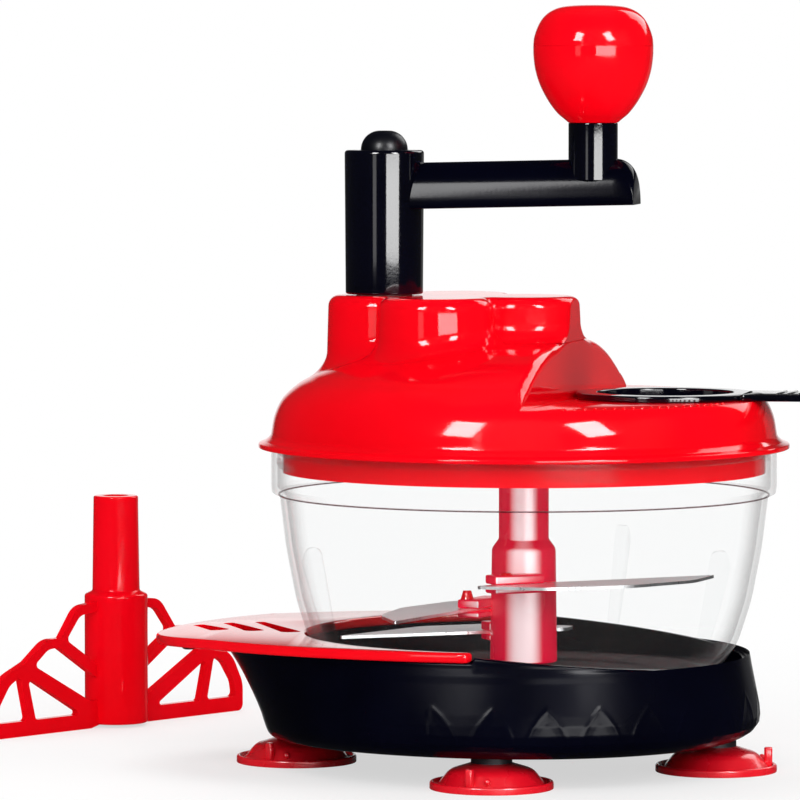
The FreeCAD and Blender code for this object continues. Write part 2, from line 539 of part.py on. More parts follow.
# ---------------------------------------------------------------- crank
bearing_top = tower_top + " + 1.5"
column_top = bearing_top + " + column_rise - 1.5"
shaft_top = bearing_top + " + 30"
node("crank_shaft", turned("crank_shaft_turn", [
    (0, "mouth_z - 3.2"), ("shaft_radius - 1", "mouth_z - 3.2"), ("shaft_radius - 1", gear_low),
    ("shaft_radius", gear_low), ("shaft_radius", shaft_top, 0.8), (0, shaft_top)]), "axis_x + " + crank_x)
node("crank_clip", turned("crank_clip_turn", [
    ("shaft_radius - 0.98", "mouth_z + 2.1"), ("shaft_radius + 2", "mouth_z + 2.1"),
    ("shaft_radius + 2", gear_low), ("shaft_radius - 0.98", gear_low)]), "axis_x + " + crank_x)
column = turned("crank_column", [
    (0, bearing_top), ("shaft_radius + 6.6", bearing_top), ("shaft_radius + 6.6", tower_top + " + 0.35"),
    ("column_radius - 0.4", tower_top + " + 0.35", 0.8), ("column_radius", column_top, 1.2), (0, column_top)])
tilt = Rot(V(0, 1, 0), -num("arm_tilt"))
arm_low = column_top + " - 23.5"
arm_side = slab("arm_side", [(0, 0), ("arm_reach + 17.5", 0, 1.5), ("arm_reach + 17.5", "arm_depth", 8.5),
                             (0, "arm_depth")], "arm_width + 2",
                y="arm_width / 2 + 1", z=arm_low, turn=tilt * Rot(V(1, 0, 0), 90))
arm_section = slab("arm_section", [("-arm_width / 2", 0), ("arm_width / 2", 0),
                                   ("arm_width / 2", "arm_depth", "arm_width / 2 - 0.05"),
                                   ("-arm_width / 2", "arm_depth", "arm_width / 2 - 0.05")], "arm_reach + 40",
                   z=arm_low, turn=tilt * Rot(V(0, 0, 1), 90) * Rot(V(1, 0, 0), 90))
arm = common("crank_bar", arm_side, arm_section)
stem_top = column_top + " + 11"
crank = cut("crank_arm_cut", fuse("crank_arm_mass", column, arm,
            rod("crank_stem", "stem_radius", "22", x="arm_reach", z=column_top + " - 11")),
            rod("crank_shaft_socket", "shaft_radius + 0.02", 60, z=shaft_top + " - 60"),
            rod("button_well", "button_radius + 0.3", 40, z=column_top + " - 18"),
            rod("knob_pin_socket", "pin_radius + 0.02", 40, x="arm_reach", z=stem_top + " - 16"))
node("crank_arm", crank, "axis_x + " + crank_x)
knob_x = "axis_x + %s + arm_reach" % crank_x
seam = stem_top + " + knob_height * 0.652"
node("knob_pin", turned("knob_pin_turn", [
    (0, stem_top + " - 16"), ("pin_radius", stem_top + " - 16"), ("pin_radius", seam + " - 4"),
    ("pin_radius + 2.4", seam + " - 4"), ("pin_radius + 2.4", seam + " - 1.4"), (0, seam + " - 1.4")]), knob_x)
node("knob_lower", turned("knob_lower_turn", [
    ("pin_radius + running_gap", stem_top), ("knob_radius * 0.418", stem_top),
    ("knob_radius * 0.56", stem_top + " + knob_height * 0.055", 4),
    ("knob_radius * 0.86", stem_top + " + knob_height * 0.26", 20),
    ("knob_radius * 0.985", stem_top + " + knob_height * 0.47", 25), ("knob_radius", seam),
    ("pin_radius + 3", seam), ("pin_radius + 3", seam + " - 4"), ("pin_radius + running_gap", seam + " - 4")]),
    knob_x)
knob_top = stem_top + " + knob_height"
node("knob_upper", turned("knob_upper_turn", [
    ("knob_radius - 6", seam), ("knob_radius", seam), ("knob_radius * 0.975", stem_top + " + knob_height * 0.8", 9),
    ("knob_radius * 0.78", stem_top + " + knob_height * 0.925", 9), ("knob_radius * 0.42", knob_top, 12),
    (0, knob_top), (0, knob_top + " - 3"), ("knob_radius - 11", knob_top + " - 3.8", 3),
    ("knob_radius - 6", stem_top + " + knob_height * 0.8", 2)]), knob_x)
button_low = column_top + " - 4"
node("release_button", turned("release_button_turn", [
    (0, button_low), ("button_radius", button_low), ("button_radius", column_top + " + 7.6", 7.5),
    (0, column_top + " + 7.6")]), "axis_x + " + crank_x)
coil = doc.addObject("Part::Helix", "spring_path")
bind(coil, Radius="button_radius - 3", Pitch="(14 - 1.0) / 5", Height="14 - 1.0")
put(coil, z=column_top + " - 17.5")
wire = doc.addObject("Part::Circle", "spring_wire")
wire.Radius = 0.5
put(wire, x="button_radius - 3", z=column_top + " - 17.5", turn=Rot(V(1, 0, 0), 90))
spring = doc.addObject("Part::Sweep", "spring_sweep")
spring.Sections = [wire]
spring.Spine = (coil, [])
spring.Solid = True
spring.Frenet = True
node("button_spring", spring, "axis_x + " + crank_x)

# ---------------------------------------------------------------- blade shaft
tube_top = "mouth_z + 8.8"
hub = turned("hub_turn", [
    (0, "floor_z + 5.5"), ("collar_radius", "floor_z + 5.5", 0.8), ("collar_radius - 0.65", "mouth_z - 38.5", 4),
    ("tube_radius", "mouth_z - 35.5", 1.5), ("tube_radius", tube_top, 0.6), (0, tube_top)])
LEAF = [(-31, 17, 1.5), (-16, 14.0, 8), (24, 14.4, 30), ("bowl_radius - blade_gap - 1", 13.4, 0.6),
        ("bowl_radius * 0.60", 31, 25), (28, 40, 24), (-8, 37, 16)]
WEDGE = [(-30, 22, 2), (-24, 14.4, 4), ("bowl_radius - blade_gap - 6.5", 13.6, 0.6),
         ("bowl_radius * 0.28", 41, 14), (-8, 42, 14)]
# Name, height, direction, outline, where the clamp starts and its peg stands along the blade, and the peg's rise.
BLADES = [("upper", "floor_z + 36.7", 37, LEAF, -22, -16, 1.0), ("middle", "floor_z + 26", 251, LEAF, -2, 16.5, 3.4),
          ("lower", "floor_z + 15.5", 211, WEDGE, -11, -6, 1.0)]
hub_adds, hub_cuts = [], []
for key, height, angle, leaf, clamp_u, peg_u, peg_rise in BLADES:
    # Local frame: along the blade, towards the collar, up.
    frame = Rot(V(0, 0, 1), angle)
    outline = [(c[0], "-(%s)" % c[1]) + tuple(c[2:]) for c in leaf][::-1]

    def at(u, w, up):
        spot = frame.multVec(V(u, w, up))
        return {"x": round(spot.x, 6), "y": round(spot.y, 6), "z": "%s + %.6f" % (height, spot.z), "turn": frame}
    hub_adds.append(block("clamp_" + key, 22, 10, 7.2, **at(clamp_u, -19, -2.4)))
    hub_cuts.append(block("clamp_slit_" + key, 60, 10, "blade_thick + 0.05", **at(-30, -23, 0)))
    peg_w = -16.4
    hub_cuts.append(rod("clamp_hole_" + key, 1.75, 20, **at(peg_u, peg_w, -6)))
    blade = slab("blade_plate_" + key, outline, "blade_thick", **at(0, 0, 0))
    where = at(peg_u, peg_w, -6)
    plate = cut("blade_%s_cut" % key, blade, rod("blade_hole_" + key, 1.75, 20, **where))
    node("blade_" + key, plate)
    peg = fuse("blade_peg_%s_mass" % key, rod("peg_shank_" + key, 1.7, 7.2, **at(peg_u, peg_w, -2.4)),
               taper("peg_head_" + key, 2.6, 1.6, peg_rise, **at(peg_u, peg_w, 4.8)))
    node("blade_peg_" + key, peg)
hub_whole = cut("blade_hub_cut", fuse("hub_mass", hub, *hub_adds), *(hub_cuts + [
    rod("hub_counterbore", 8.6, 34, z=boss_top + " - 34"),
    rod("hub_bore", "pin_radius + 0.15", "mouth_z - floor_z - 20", z="floor_z"),
    hexagon("hub_hexagon", "hex_across + 0.3", 60, z="mouth_z - 10.4")]))
node("blade_hub", hub_whole)

# ---------------------------------------------------------------- egg separator
drop = "port_radius - 1.5"
handle = slab("separator_handle", [
    ("port_x", -22), ("bowl_radius - 2", -17, 20), ("handle_reach", -14, 9), ("handle_reach", 14, 9),
    ("bowl_radius - 2", 17, 20), ("port_x", 22)], 2.6, z=ledge)
plate = rod("separator_disc", "port_radius + 5.2", 2.6, x="port_x", z=ledge)
basin = rod("separator_basin", drop, 14, x="port_x", z=ledge + " - 11.8")
grips = [block("separator_grip_%d" % k, 1.6, 24, 1.2, x="handle_reach - %s" % (8 + 4.2 * k), y=-12,
               z=ledge + " + 2") for k in range(7)]
slits = []
for k in range(4):
    ring = turned("separator_slit_%d" % k, [(19, 0), (23, 0), (23, 60), (19, 60)], 66)
    slits.append(put(ring, x="port_x", z="mouth_z - 20", turn=about_z(90 * k + 12)))
separator = cut("egg_separator_cut", fuse("separator_mass", plate, handle, basin, *grips),
                rod("separator_well", drop + " - 1.6", 40, x="port_x", z=ledge + " - 10.2"),
                rod("separator_yolk_well", 12, 40, x="port_x", z=ledge + " - 10.9"), *slits)
node("egg_separator", separator)

# ---------------------------------------------------------------- beater
WING = [(8, 53.6), ("beater_reach * 0.325", 51.8, 9), ("beater_reach * 0.449", 39.4, 0.6),
        ("beater_reach * 0.57", 39.2, 12), ("beater_reach * 0.722", 30.8, 1), ("beater_reach * 0.91", 25, 14),
        ("beater_reach", 12, 12), ("beater_reach", 0, 3), (17, 0), (12, 1.2), (8, 1.2)]
PANES = [[(8, 49.6), ("beater_reach * 0.305", 47.9, 6), ("beater_reach * 0.41", 38.2, 2), (8, 23.6)],
         [(8, 17.8), ("beater_reach * 0.47", 35.4, 1.6), ("beater_reach * 0.552", 35.1, 7),
          ("beater_reach * 0.66", 28.9, 1.6), (17, 11.4, 1.5), (8, 12)],
         [(22, 6.4, 1), ("beater_reach * 0.65", 6.4, 1.5), ("beater_reach * 0.703", 21.9, 1.2),
          ("beater_reach * 0.68", 23.2, 1.2)],
         [("beater_reach * 0.706", 6.4, 1.5), ("beater_reach * 0.945", 6.4, 2), ("beater_reach * 0.93", 13, 8),
          ("beater_reach * 0.85", 21.6, 8), ("beater_reach * 0.765", 25.2, 2)]]
wings = []
for i, angle in enumerate((60, 240), 1):
    stand = Rot(V(0, 0, 1), angle) * Rot(V(1, 0, 0), 90)
    shift = polar(1.7, angle + 90)
    leaf = slab("beater_leaf_%d" % i, WING, 3.4, x=shift[0], y=shift[1], turn=stand)
    far = polar(6, angle + 90)
    panes = [slab("beater_pane_%d_%d" % (i, k), pane, 12, x=far[0], y=far[1], turn=stand)
             for k, pane in enumerate(PANES, 1)]
    wings.append(cut("beater_wing_%d" % i, leaf, *panes))
post = turned("beater_post", [
    (0, 1.2), ("collar_radius", 1.2, 1), ("collar_radius", 55.4, 1.5), ("tube_radius + 0.1", "55.4 + 1.6", 1),
    ("tube_radius - 0.5", "beater_height", 0.8), (0, "beater_height")])
beater = cut("beater_cut", fuse("beater_mass", post, *wings),
             rod("beater_counterbore", 8.6, 20, z=-14), rod("beater_bore", "pin_radius + 0.15", 90, z=-20),
             hexagon("beater_hexagon", "hex_across + 0.3", 40, z="beater_height - 20"))
node("beater", beater, "axis_x + beater_x", "axis_y + beater_y")

# ---------------------------------------------------------------- check and write
doc.recompute()
for obj in doc.Objects:
    if "Invalid" in obj.State or "Error" in obj.State:
        raise RuntimeError("did not compute: %s %s" % (obj.Name, obj.State))
os.makedirs("parts", exist_ok=True)
for name, obj in nodes.items():
    shape = obj.Shape
    if shape.isNull() or not shape.isValid() or not shape.Solids:
        raise RuntimeError("bad shape: " + name)
    shape.exportStep(os.path.join("parts", name + ".step"))
print("pieces written:", len(nodes))
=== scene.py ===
# %% [markdown]
# A hand cranked food chopper around its fixed frame.  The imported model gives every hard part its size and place, so
# the first step only loads it.  Everything made later is drawn in metres in the same frame, about the bowl's axis.

# %% Load the frame
import contextlib
import math
import bpy
import numpy as np
from mathutils import Matrix, Vector


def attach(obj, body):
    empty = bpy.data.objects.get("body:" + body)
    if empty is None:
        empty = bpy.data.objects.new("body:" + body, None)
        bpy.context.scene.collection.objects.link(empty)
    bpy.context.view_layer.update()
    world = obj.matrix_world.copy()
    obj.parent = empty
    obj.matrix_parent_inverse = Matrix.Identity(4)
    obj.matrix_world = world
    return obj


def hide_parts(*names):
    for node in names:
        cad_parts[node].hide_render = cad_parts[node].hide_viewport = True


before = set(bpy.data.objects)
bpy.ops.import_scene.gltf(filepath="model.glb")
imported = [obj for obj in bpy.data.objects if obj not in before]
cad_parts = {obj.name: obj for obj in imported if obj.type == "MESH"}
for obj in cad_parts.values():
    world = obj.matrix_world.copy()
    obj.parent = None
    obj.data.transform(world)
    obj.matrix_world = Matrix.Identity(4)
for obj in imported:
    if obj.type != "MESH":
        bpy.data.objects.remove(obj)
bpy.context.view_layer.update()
MM = 0.001
BOWL_AXIS = Vector((0.0495, -0.0385, 0.0))
CRANK_AXIS = BOWL_AXIS + Vector((-0.05625, 0, 0))
KNOB_AXIS = CRANK_AXIS + Vector((0.08375, 0, 0))
PORT_AXIS = BOWL_AXIS + Vector((0.0565, 0, 0))
MERGE = 1e-6
print("frame nodes:", len(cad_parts))

# %% [markdown]
# Turned parts such as the bowl, the knob and the cups come from a lathe or a round mould, so each is a profile spun
# about an axis.  A circle primitive gives a loop with the right number of points, the points are moved to the
# profile, and Spin makes the body.  Corners of a profile are rounded first, as a moulder's drawing would give them.


# %% Profiles
def deselect():
    if bpy.context.object and bpy.context.object.mode != "OBJECT":
        bpy.ops.object.mode_set(mode="OBJECT")
    bpy.ops.object.select_all(action="DESELECT")


def activate(piece):
    """Select one piece alone and make it the active one."""
    deselect()
    piece.select_set(True)
    bpy.context.view_layer.objects.active = piece


@contextlib.contextmanager
def editing():
    """Edit mode for the steps inside the with block."""
    bpy.ops.object.mode_set(mode="EDIT")
    yield
    bpy.ops.object.mode_set(mode="OBJECT")


def face_outwards():
    bpy.ops.mesh.select_all(action="SELECT")
    bpy.ops.mesh.normals_make_consistent(inside=False)


def named(name):
    """The piece that a primitive has just made, with its name."""
    piece = bpy.context.object
    piece.name = piece.data.name = name
    return piece


def rounded(corners, closed=True, arc_step=9):
    """Corner points (across, up, radius) in mm, with each radius drawn as a short arc."""
    corners = [tuple(c) + (0,) * (3 - len(c)) for c in corners]
    count, out = len(corners), []
    for i, (x, y, radius) in enumerate(corners):
        here = Vector((x, y))
        ends = not closed and i in (0, count - 1)
        if radius <= 0 or ends:
            out.append((x, y))
            continue
        back = (Vector(corners[i - 1][:2]) - here).normalized()
        ahead = (Vector(corners[(i + 1) % count][:2]) - here).normalized()
        half = math.acos(max(-1, min(1, back.dot(ahead)))) / 2
        if half > math.radians(89.5):
            out.append((x, y))
            continue
        centre = here + (back + ahead).normalized() * radius / math.sin(half)
        first = here + back * radius / math.tan(half) - centre
        sweep = math.pi - 2 * half
        turn = 1 if back.x * ahead.y - back.y * ahead.x < 0 else -1
        steps = max(2, int(math.degrees(sweep) / arc_step) + 1)
        for k in range(steps + 1):
            angle = turn * sweep * k / steps
            out.append((centre.x + first.x * math.cos(angle) - first.y * math.sin(angle),
                        centre.y + first.x * math.sin(angle) + first.y * math.cos(angle)))
    return out


def flowing(points, per=5):
    """A smooth curve through points (Catmull-Rom), for profiles measured point by point."""
    pts = [Vector(p) for p in points]
    pts = [pts[0] * 2 - pts[1]] + pts + [pts[-1] * 2 - pts[-2]]
    out = []
    for a, b, c, d in zip(pts, pts[1:], pts[2:], pts[3:]):
        for k in range(per):
            t = k / per
            out.append(tuple(0.5 * (2 * b + (c - a) * t + (2 * a - 5 * b + 4 * c - d) * t * t
                                    + (3 * b - a - 3 * c + d) * t ** 3)))
    return out + [tuple(pts[-2])]


print("a square with rounded corners has", len(rounded([(0, 0, 1), (9, 0, 1), (9, 9, 1), (0, 9, 1)])), "points")

# %% [markdown]
# The lathe takes such a profile round the axis.  An open profile starts and ends on the axis, so the circle's last
# edge is removed before the spin, and the poles close when the doubled points are merged.

# %% The lathe
LATHE_STEPS = 128


def lathe(name, profile, axis=BOWL_AXIS, steps=LATHE_STEPS, closed=True, start=0.0, sweep=360.0):
    """Spin a profile of (radius, height) in mm about a vertical axis, from the angle start."""
    deselect()
    bpy.ops.mesh.primitive_circle_add(vertices=len(profile), fill_type="NOTHING")
    piece = named(name)
    away = Vector((math.cos(math.radians(start)), math.sin(math.radians(start)), 0))
    for vert, (radius, height) in zip(piece.data.vertices, profile):
        vert.co = axis + away * radius * MM + Vector((0, 0, height * MM))
    if not closed:
        with editing():
            bpy.ops.mesh.select_mode(type="VERT")
            bpy.ops.mesh.select_all(action="DESELECT")
        piece.data.vertices[0].select = piece.data.vertices[len(profile) - 1].select = True
        with editing():
            bpy.ops.mesh.delete(type="EDGE")
    with editing():
        bpy.ops.mesh.select_mode(type="VERT")
        bpy.ops.mesh.select_all(action="SELECT")
        bpy.ops.mesh.spin(steps=steps, angle=math.radians(sweep), center=axis, axis=(0, 0, 1))
        bpy.ops.mesh.select_all(action="SELECT")
        bpy.ops.mesh.remove_doubles(threshold=MERGE)
        if sweep < 360:
            bpy.ops.mesh.fill_holes(sides=0)
        face_outwards()
    return piece


def soften(piece, angle=35):
    """Smooth shading that keeps edges sharper than the angle."""
    activate(piece)
    bpy.ops.object.shade_smooth_by_angle(angle=math.radians(angle))
    return piece


print("the lathe divides a turn into", LATHE_STEPS, "steps")

# %% [markdown]
# Moulded plates are drawn flat: an outline is filled, extruded and its edges are bevelled.  Pieces whose section
# changes along the way, such as the base, are skins instead: a grid primitive whose points are moved onto the shape.


# %% Plates, skins, bars and joining
def apply_modifier(piece, kind, name, **settings):
    """Add a modifier with its settings and apply it to the mesh."""
    activate(piece)
    modifier = piece.modifiers.new(name, kind)
    for key, value in settings.items():
        setattr(modifier, key, value)
    bpy.ops.object.modifier_apply(modifier=name)
    return piece


def plate(name, outline, low, thick, bevel=0.0, segments=2, place=None):
    """Extrude a flat outline in mm; place is the matrix that carries it from its drawing to the frame."""
    deselect()
    bpy.ops.mesh.primitive_circle_add(vertices=len(outline), fill_type="NOTHING")
    piece = named(name)
    for vert, (x, y) in zip(piece.data.vertices, outline):
        vert.co = (x * MM, y * MM, low * MM)
    with editing():
        bpy.ops.mesh.select_all(action="SELECT")
        bpy.ops.mesh.edge_face_add()
        bpy.ops.mesh.extrude_region_move(TRANSFORM_OT_translate={"value": (0, 0, thick * MM)})
        face_outwards()
    if bevel:
        apply_modifier(piece, "BEVEL", "edge", width=bevel * MM, segments=segments, limit_method="ANGLE",
                       angle_limit=math.radians(40))
    piece.data.transform(place if place else Matrix.Translation(BOWL_AXIS))
    return piece


def skin(name, across, along, locate):
    """A grid whose point (u, v), each from 0 to 1, goes to locate(u, v) in metres."""
    deselect()
    bpy.ops.mesh.primitive_grid_add(x_subdivisions=across, y_subdivisions=along, size=1)
    piece = named(name)
    flat = np.empty(len(piece.data.vertices) * 3)
    piece.data.vertices.foreach_get("co", flat)
    flat = flat.reshape(-1, 3)
    placed = locate(flat[:, 0] + 0.5, flat[:, 1] + 0.5)
    piece.data.vertices.foreach_set("co", np.ascontiguousarray(placed, dtype=float).ravel())
    with editing():
        bpy.ops.mesh.select_all(action="SELECT")
        bpy.ops.mesh.remove_doubles(threshold=MERGE)
        face_outwards()
    return piece


def bar(name, size, bevel, place):
    """A rounded block of size mm, centred on the origin of place."""
    deselect()
    bpy.ops.mesh.primitive_cube_add(size=1)
    piece = named(name)
    piece.data.transform(Matrix.Diagonal((size[0] * MM, size[1] * MM, size[2] * MM, 1)))
    apply_modifier(piece, "BEVEL", "edge", width=bevel * MM, segments=3, limit_method="NONE")
    piece.data.transform(place)
    return piece


def joined(name, *pieces):
    """Join closed pieces of one moulding into one object."""
    deselect()
    for piece in pieces:
        piece.select_set(True)
    bpy.context.view_layer.objects.active = pieces[0]
    bpy.ops.object.join()
    pieces[0].name = pieces[0].data.name = name
    return pieces[0]


def copied(piece, *places):
    """Copies of a piece modelled about the origin, each with its own mesh, carried to the given matrices."""
    made = []
    for place in places:
        activate(piece)
        bpy.ops.object.duplicate()
        made.append(bpy.context.object)
        made[-1].data.transform(place)
    bpy.data.objects.remove(piece)
    return made


def carve(piece, cutter):
    """Cut one closed mesh out of another and remove the cutter."""
    apply_modifier(piece, "BOOLEAN", "cut", operation="DIFFERENCE", solver="EXACT", object=cutter)
    bpy.data.objects.remove(cutter)
    return piece


def shift(x, y, z=0.0, turn=0.0, tilt=None):
    """Matrix from a drawing about the bowl axis: move in mm, then turn about the vertical in degrees."""
    matrix = Matrix.Translation(BOWL_AXIS + Vector((x, y, z)) * MM) @ Matrix.Rotation(math.radians(turn), 4, "Z")
    return matrix @ tilt if tilt else matrix


print("a piece drawn 10 mm from the bowl's axis lies at x =", round(shift(10, 0).translation.x, 4), "m")

# %% [markdown]
# Finishes.  The plastics are glossy mouldings: a strong even colour, a faint cloud of colour from the pigment, tiny
# changes of gloss from handling, and a very fine ripple left by the tool.  All patterns use Object coordinates.


# %% Texture helpers
def new_material(name):
    """A material with its node tree, its shader and its texture coordinates."""
    material = bpy.data.materials.new(name)
    material.use_nodes = True
    nodes, links = material.node_tree.nodes, material.node_tree.links
    shader = nodes["Principled BSDF"]
    coords = nodes.new("ShaderNodeTexCoord")
    return material, nodes, links, shader, coords


def set_inputs(node, values):
    for socket, value in values.items():
        node.inputs[socket].default_value = value


def noise(nodes, links, coords, scale, detail=3, stretch=None):
    """Object-space noise, stretched along an axis for brushed or turned metal."""
    texture = nodes.new("ShaderNodeTexNoise")
    set_inputs(texture, {"Scale": scale, "Detail": detail})
    source = coords.outputs["Object"]
    if stretch:
        mapping = nodes.new("ShaderNodeMapping")
        mapping.inputs["Scale"].default_value = stretch
        links.new(source, mapping.inputs["Vector"])
        source = mapping.outputs["Vector"]
    links.new(source, texture.inputs["Vector"])
    return texture.outputs["Fac"]


def ranged(nodes, links, source, low, high, start=0.3, stop=0.7, curve="LINEAR"):
    """Carry a value that runs from start to stop over to low to high."""
    mapper = nodes.new("ShaderNodeMapRange")
    mapper.interpolation_type = curve
    set_inputs(mapper, {"From Min": start, "From Max": stop, "To Min": low, "To Max": high})
    links.new(source, mapper.inputs["Value"])
    return mapper.outputs["Result"]


def tinted(nodes, links, source, one, two):
    """A slow change between two near colours."""
    ramp = nodes.new("ShaderNodeValToRGB")
    ramp.color_ramp.elements[0].position, ramp.color_ramp.elements[1].position = 0.35, 0.65
    ramp.color_ramp.elements[0].color = (*one, 1)
    ramp.color_ramp.elements[1].color = (*two, 1)
    links.new(source, ramp.inputs["Fac"])
    return ramp.outputs["Color"]


def rippled(nodes, links, shader, height, strength, distance):
    """A fine bump in the shader's normal."""
    bump = nodes.new("ShaderNodeBump")
    set_inputs(bump, {"Strength": strength, "Distance": distance})
    links.new(height, bump.inputs["Height"])
    links.new(bump.outputs["Normal"], shader.inputs["Normal"])


print("materials before the finishes:", len(bpy.data.materials))

# %% [markdown]
# A plastic has a colour that drifts a little, a gloss that varies as handled mouldings do, and a clear top gloss
# where the real part is polished.  A metal carries its colour and its gloss on the same fine lines, which run round
# a turned pin and along a ground blade.


# %% Plastic and metal finishes
def plastic(name, one, two, rough=(0.1, 0.16), coat=0.6, ripple=0.02, grain=900, specular=0.5):
    material, nodes, links, shader, coords = new_material(name)
    links.new(tinted(nodes, links, noise(nodes, links, coords, 18), one, two), shader.inputs["Base Color"])
    links.new(ranged(nodes, links, noise(nodes, links, coords, 45, 5), *rough), shader.inputs["Roughness"])
    set_inputs(shader, {"Coat Weight": coat, "Coat Roughness": 0.03, "Specular IOR Level": specular})
    rippled(nodes, links, shader, noise(nodes, links, coords, grain, 2), ripple, 0.0004)
    return material


def metal(name, one, two, rough, stretch, grain):
    material, nodes, links, shader, coords = new_material(name)
    lines = noise(nodes, links, coords, grain, 3, stretch)
    links.new(tinted(nodes, links, lines, one, two), shader.inputs["Base Color"])
    links.new(ranged(nodes, links, lines, *rough), shader.inputs["Roughness"])
    set_inputs(shader, {"Metallic": 1.0})
    rippled(nodes, links, shader, lines, 0.15, 0.0002)
    return material


RED = (0.84, 0.0008, 0.006), (0.90, 0.0012, 0.009)
DARK = (0.0006, 0.0007, 0.003), (0.0012, 0.0014, 0.006)
red_moulded = plastic("red_moulded", *RED, rough=(0.05, 0.1), coat=0.0, specular=0.3)
red_deck = plastic("red_deck", *RED, rough=(0.08, 0.12), coat=0.4)
red_shaft = plastic("red_shaft", (0.66, 0.002, 0.03), (0.72, 0.003, 0.038), rough=(0.2, 0.3), coat=0.0)
red_inner = plastic("red_inner", (0.62, 0.004, 0.012), (0.68, 0.006, 0.016), rough=(0.35, 0.5), coat=0.0)
red_soft = plastic("red_soft", (0.78, 0.002, 0.012), (0.85, 0.004, 0.018), rough=(0.22, 0.32), coat=0.35)
dark_moulded = plastic("dark_moulded", *DARK, rough=(0.06, 0.12), coat=0.35, specular=0.4)
dark_satin = plastic("dark_satin", *DARK, rough=(0.30, 0.38), coat=0.0, specular=0.3)
dark_hull = plastic("dark_hull", *DARK, rough=(0.18, 0.24), coat=0.0, specular=0.07)
dark_arm = plastic("dark_arm", *DARK, rough=(0.10, 0.13), coat=0.0, specular=0.09)
dark_inner = plastic("dark_inner", (0.006, 0.006, 0.01), (0.012, 0.012, 0.018), rough=(0.4, 0.55), coat=0.0)
nylon = plastic("nylon", (0.72, 0.70, 0.62), (0.80, 0.78, 0.70), rough=(0.35, 0.5), coat=0.0, ripple=0.05)
turned_steel = metal("turned_steel", (0.42, 0.42, 0.43), (0.58, 0.58, 0.59), (0.22, 0.35), (1, 1, 40), 60)
ground_steel = metal("ground_steel", (0.80, 0.81, 0.82), (0.92, 0.93, 0.94), (0.26, 0.40), (1, 30, 1), 70)
print("finishes:", len(bpy.data.materials))

# %% [markdown]
# The blade shaft's tube looks crimson at its sides and near white in the middle.  That pale band is a painted
# highlight: how far the surface turns from the eye picks the colour and a weak painted glow, so it follows the camera.

# %% Painted highlight down the shaft
SHAFT_HIGHLIGHT_TINT, SHAFT_HIGHLIGHT_SHARE, SHAFT_HIGHLIGHT_WIDTH, SHAFT_HIGHLIGHT_GLOW = (1.0, 0.86, 0.88, 1), 0.85, 0.2, 0.34
nodes, links = red_shaft.node_tree.nodes, red_shaft.node_tree.links
shader = nodes["Principled BSDF"]
shaft_facing = nodes.new("ShaderNodeLayerWeight")
shaft_facing.inputs["Blend"].default_value = 0.5
shaft_painted_highlight = nodes.new("ShaderNodeMix")
shaft_painted_highlight.data_type = "RGBA"
shaft_painted_highlight.inputs[7].default_value = SHAFT_HIGHLIGHT_TINT
# Painted highlight: near white is mixed into the colour and into the glow where the tube faces the eye.
links.new(ranged(nodes, links, shaft_facing.outputs["Facing"], SHAFT_HIGHLIGHT_SHARE, 0.0, 0.0, SHAFT_HIGHLIGHT_WIDTH, "SMOOTHSTEP"),
          shaft_painted_highlight.inputs[0])
links.new(shader.inputs["Base Color"].links[0].from_socket, shaft_painted_highlight.inputs[6])
links.new(shaft_painted_highlight.outputs[2], shader.inputs["Base Color"])
links.new(shaft_painted_highlight.outputs[2], shader.inputs["Emission Color"])
shader.inputs["Emission Strength"].default_value = SHAFT_HIGHLIGHT_GLOW
print("shaft nodes:", len(nodes))

# %% [markdown]
# The bowl is clear plastic about two and a half millimetres thick.  Light passes nearly straight through a thin
# wall and only its surface mirrors the room, more so at a glancing angle.  The finish mixes see-through with a thin
# grey gloss by how far the wall turns away from the eye, instead of tracing the light's bending.


# %% Clear plastic finish
EDGE_ON = 0.62


def clear_plastic(name, shade, tint, least, most):
    """See-through plastic whose share of gloss grows from least, facing the eye, to most, edge on."""
    material, nodes, links, shader, coords = new_material(name)
    set_inputs(shader, {"Base Color": (*shade, 1), "Specular IOR Level": 0.4})
    links.new(ranged(nodes, links, noise(nodes, links, coords, 30), 0.05, 0.1), shader.inputs["Roughness"])
    through = nodes.new("ShaderNodeBsdfTransparent")
    through.inputs["Color"].default_value = (*tint, 1)
    glance = nodes.new("ShaderNodeLayerWeight")
    glance.inputs["Blend"].default_value = 0.5
    mix = nodes.new("ShaderNodeMixShader")
    links.new(ranged(nodes, links, glance.outputs["Facing"], least, most, EDGE_ON, 1.0), mix.inputs["Fac"])
    links.new(through.outputs["BSDF"], mix.inputs[1])
    links.new(shader.outputs["BSDF"], mix.inputs[2])
    links.new(mix.outputs["Shader"], nodes["Material Output"].inputs["Surface"])
    return material


clear = clear_plastic("clear_bowl_plastic", (0.42, 0.43, 0.43), (0.994, 0.996, 0.996), 0.012, 0.4)
# Painted shade for the bowl's step line, tinted with a painted reflection of the lid's red.
step_line_painted_shade = clear_plastic("step_line_painted_shade_finish", (0.10, 0.03, 0.035), (0.55, 0.45, 0.46), 0.2, 0.7)


def finish_piece(piece, body, material, slot, *nodes, angle=35):
    """Give a piece its material and its body, and hide the nodes it stands for; the slot is not used."""
    soften(piece, angle)
    piece.data.materials.clear()
    piece.data.materials.append(material)
    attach(piece, body)
    if nodes:
        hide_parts(*nodes)
    print(piece.name, len(piece.data.polygons), "faces")
    return piece


# %% [markdown]
# Frame nodes that keep their own shape only need a finish.  Their material slots are filled here, by kind.

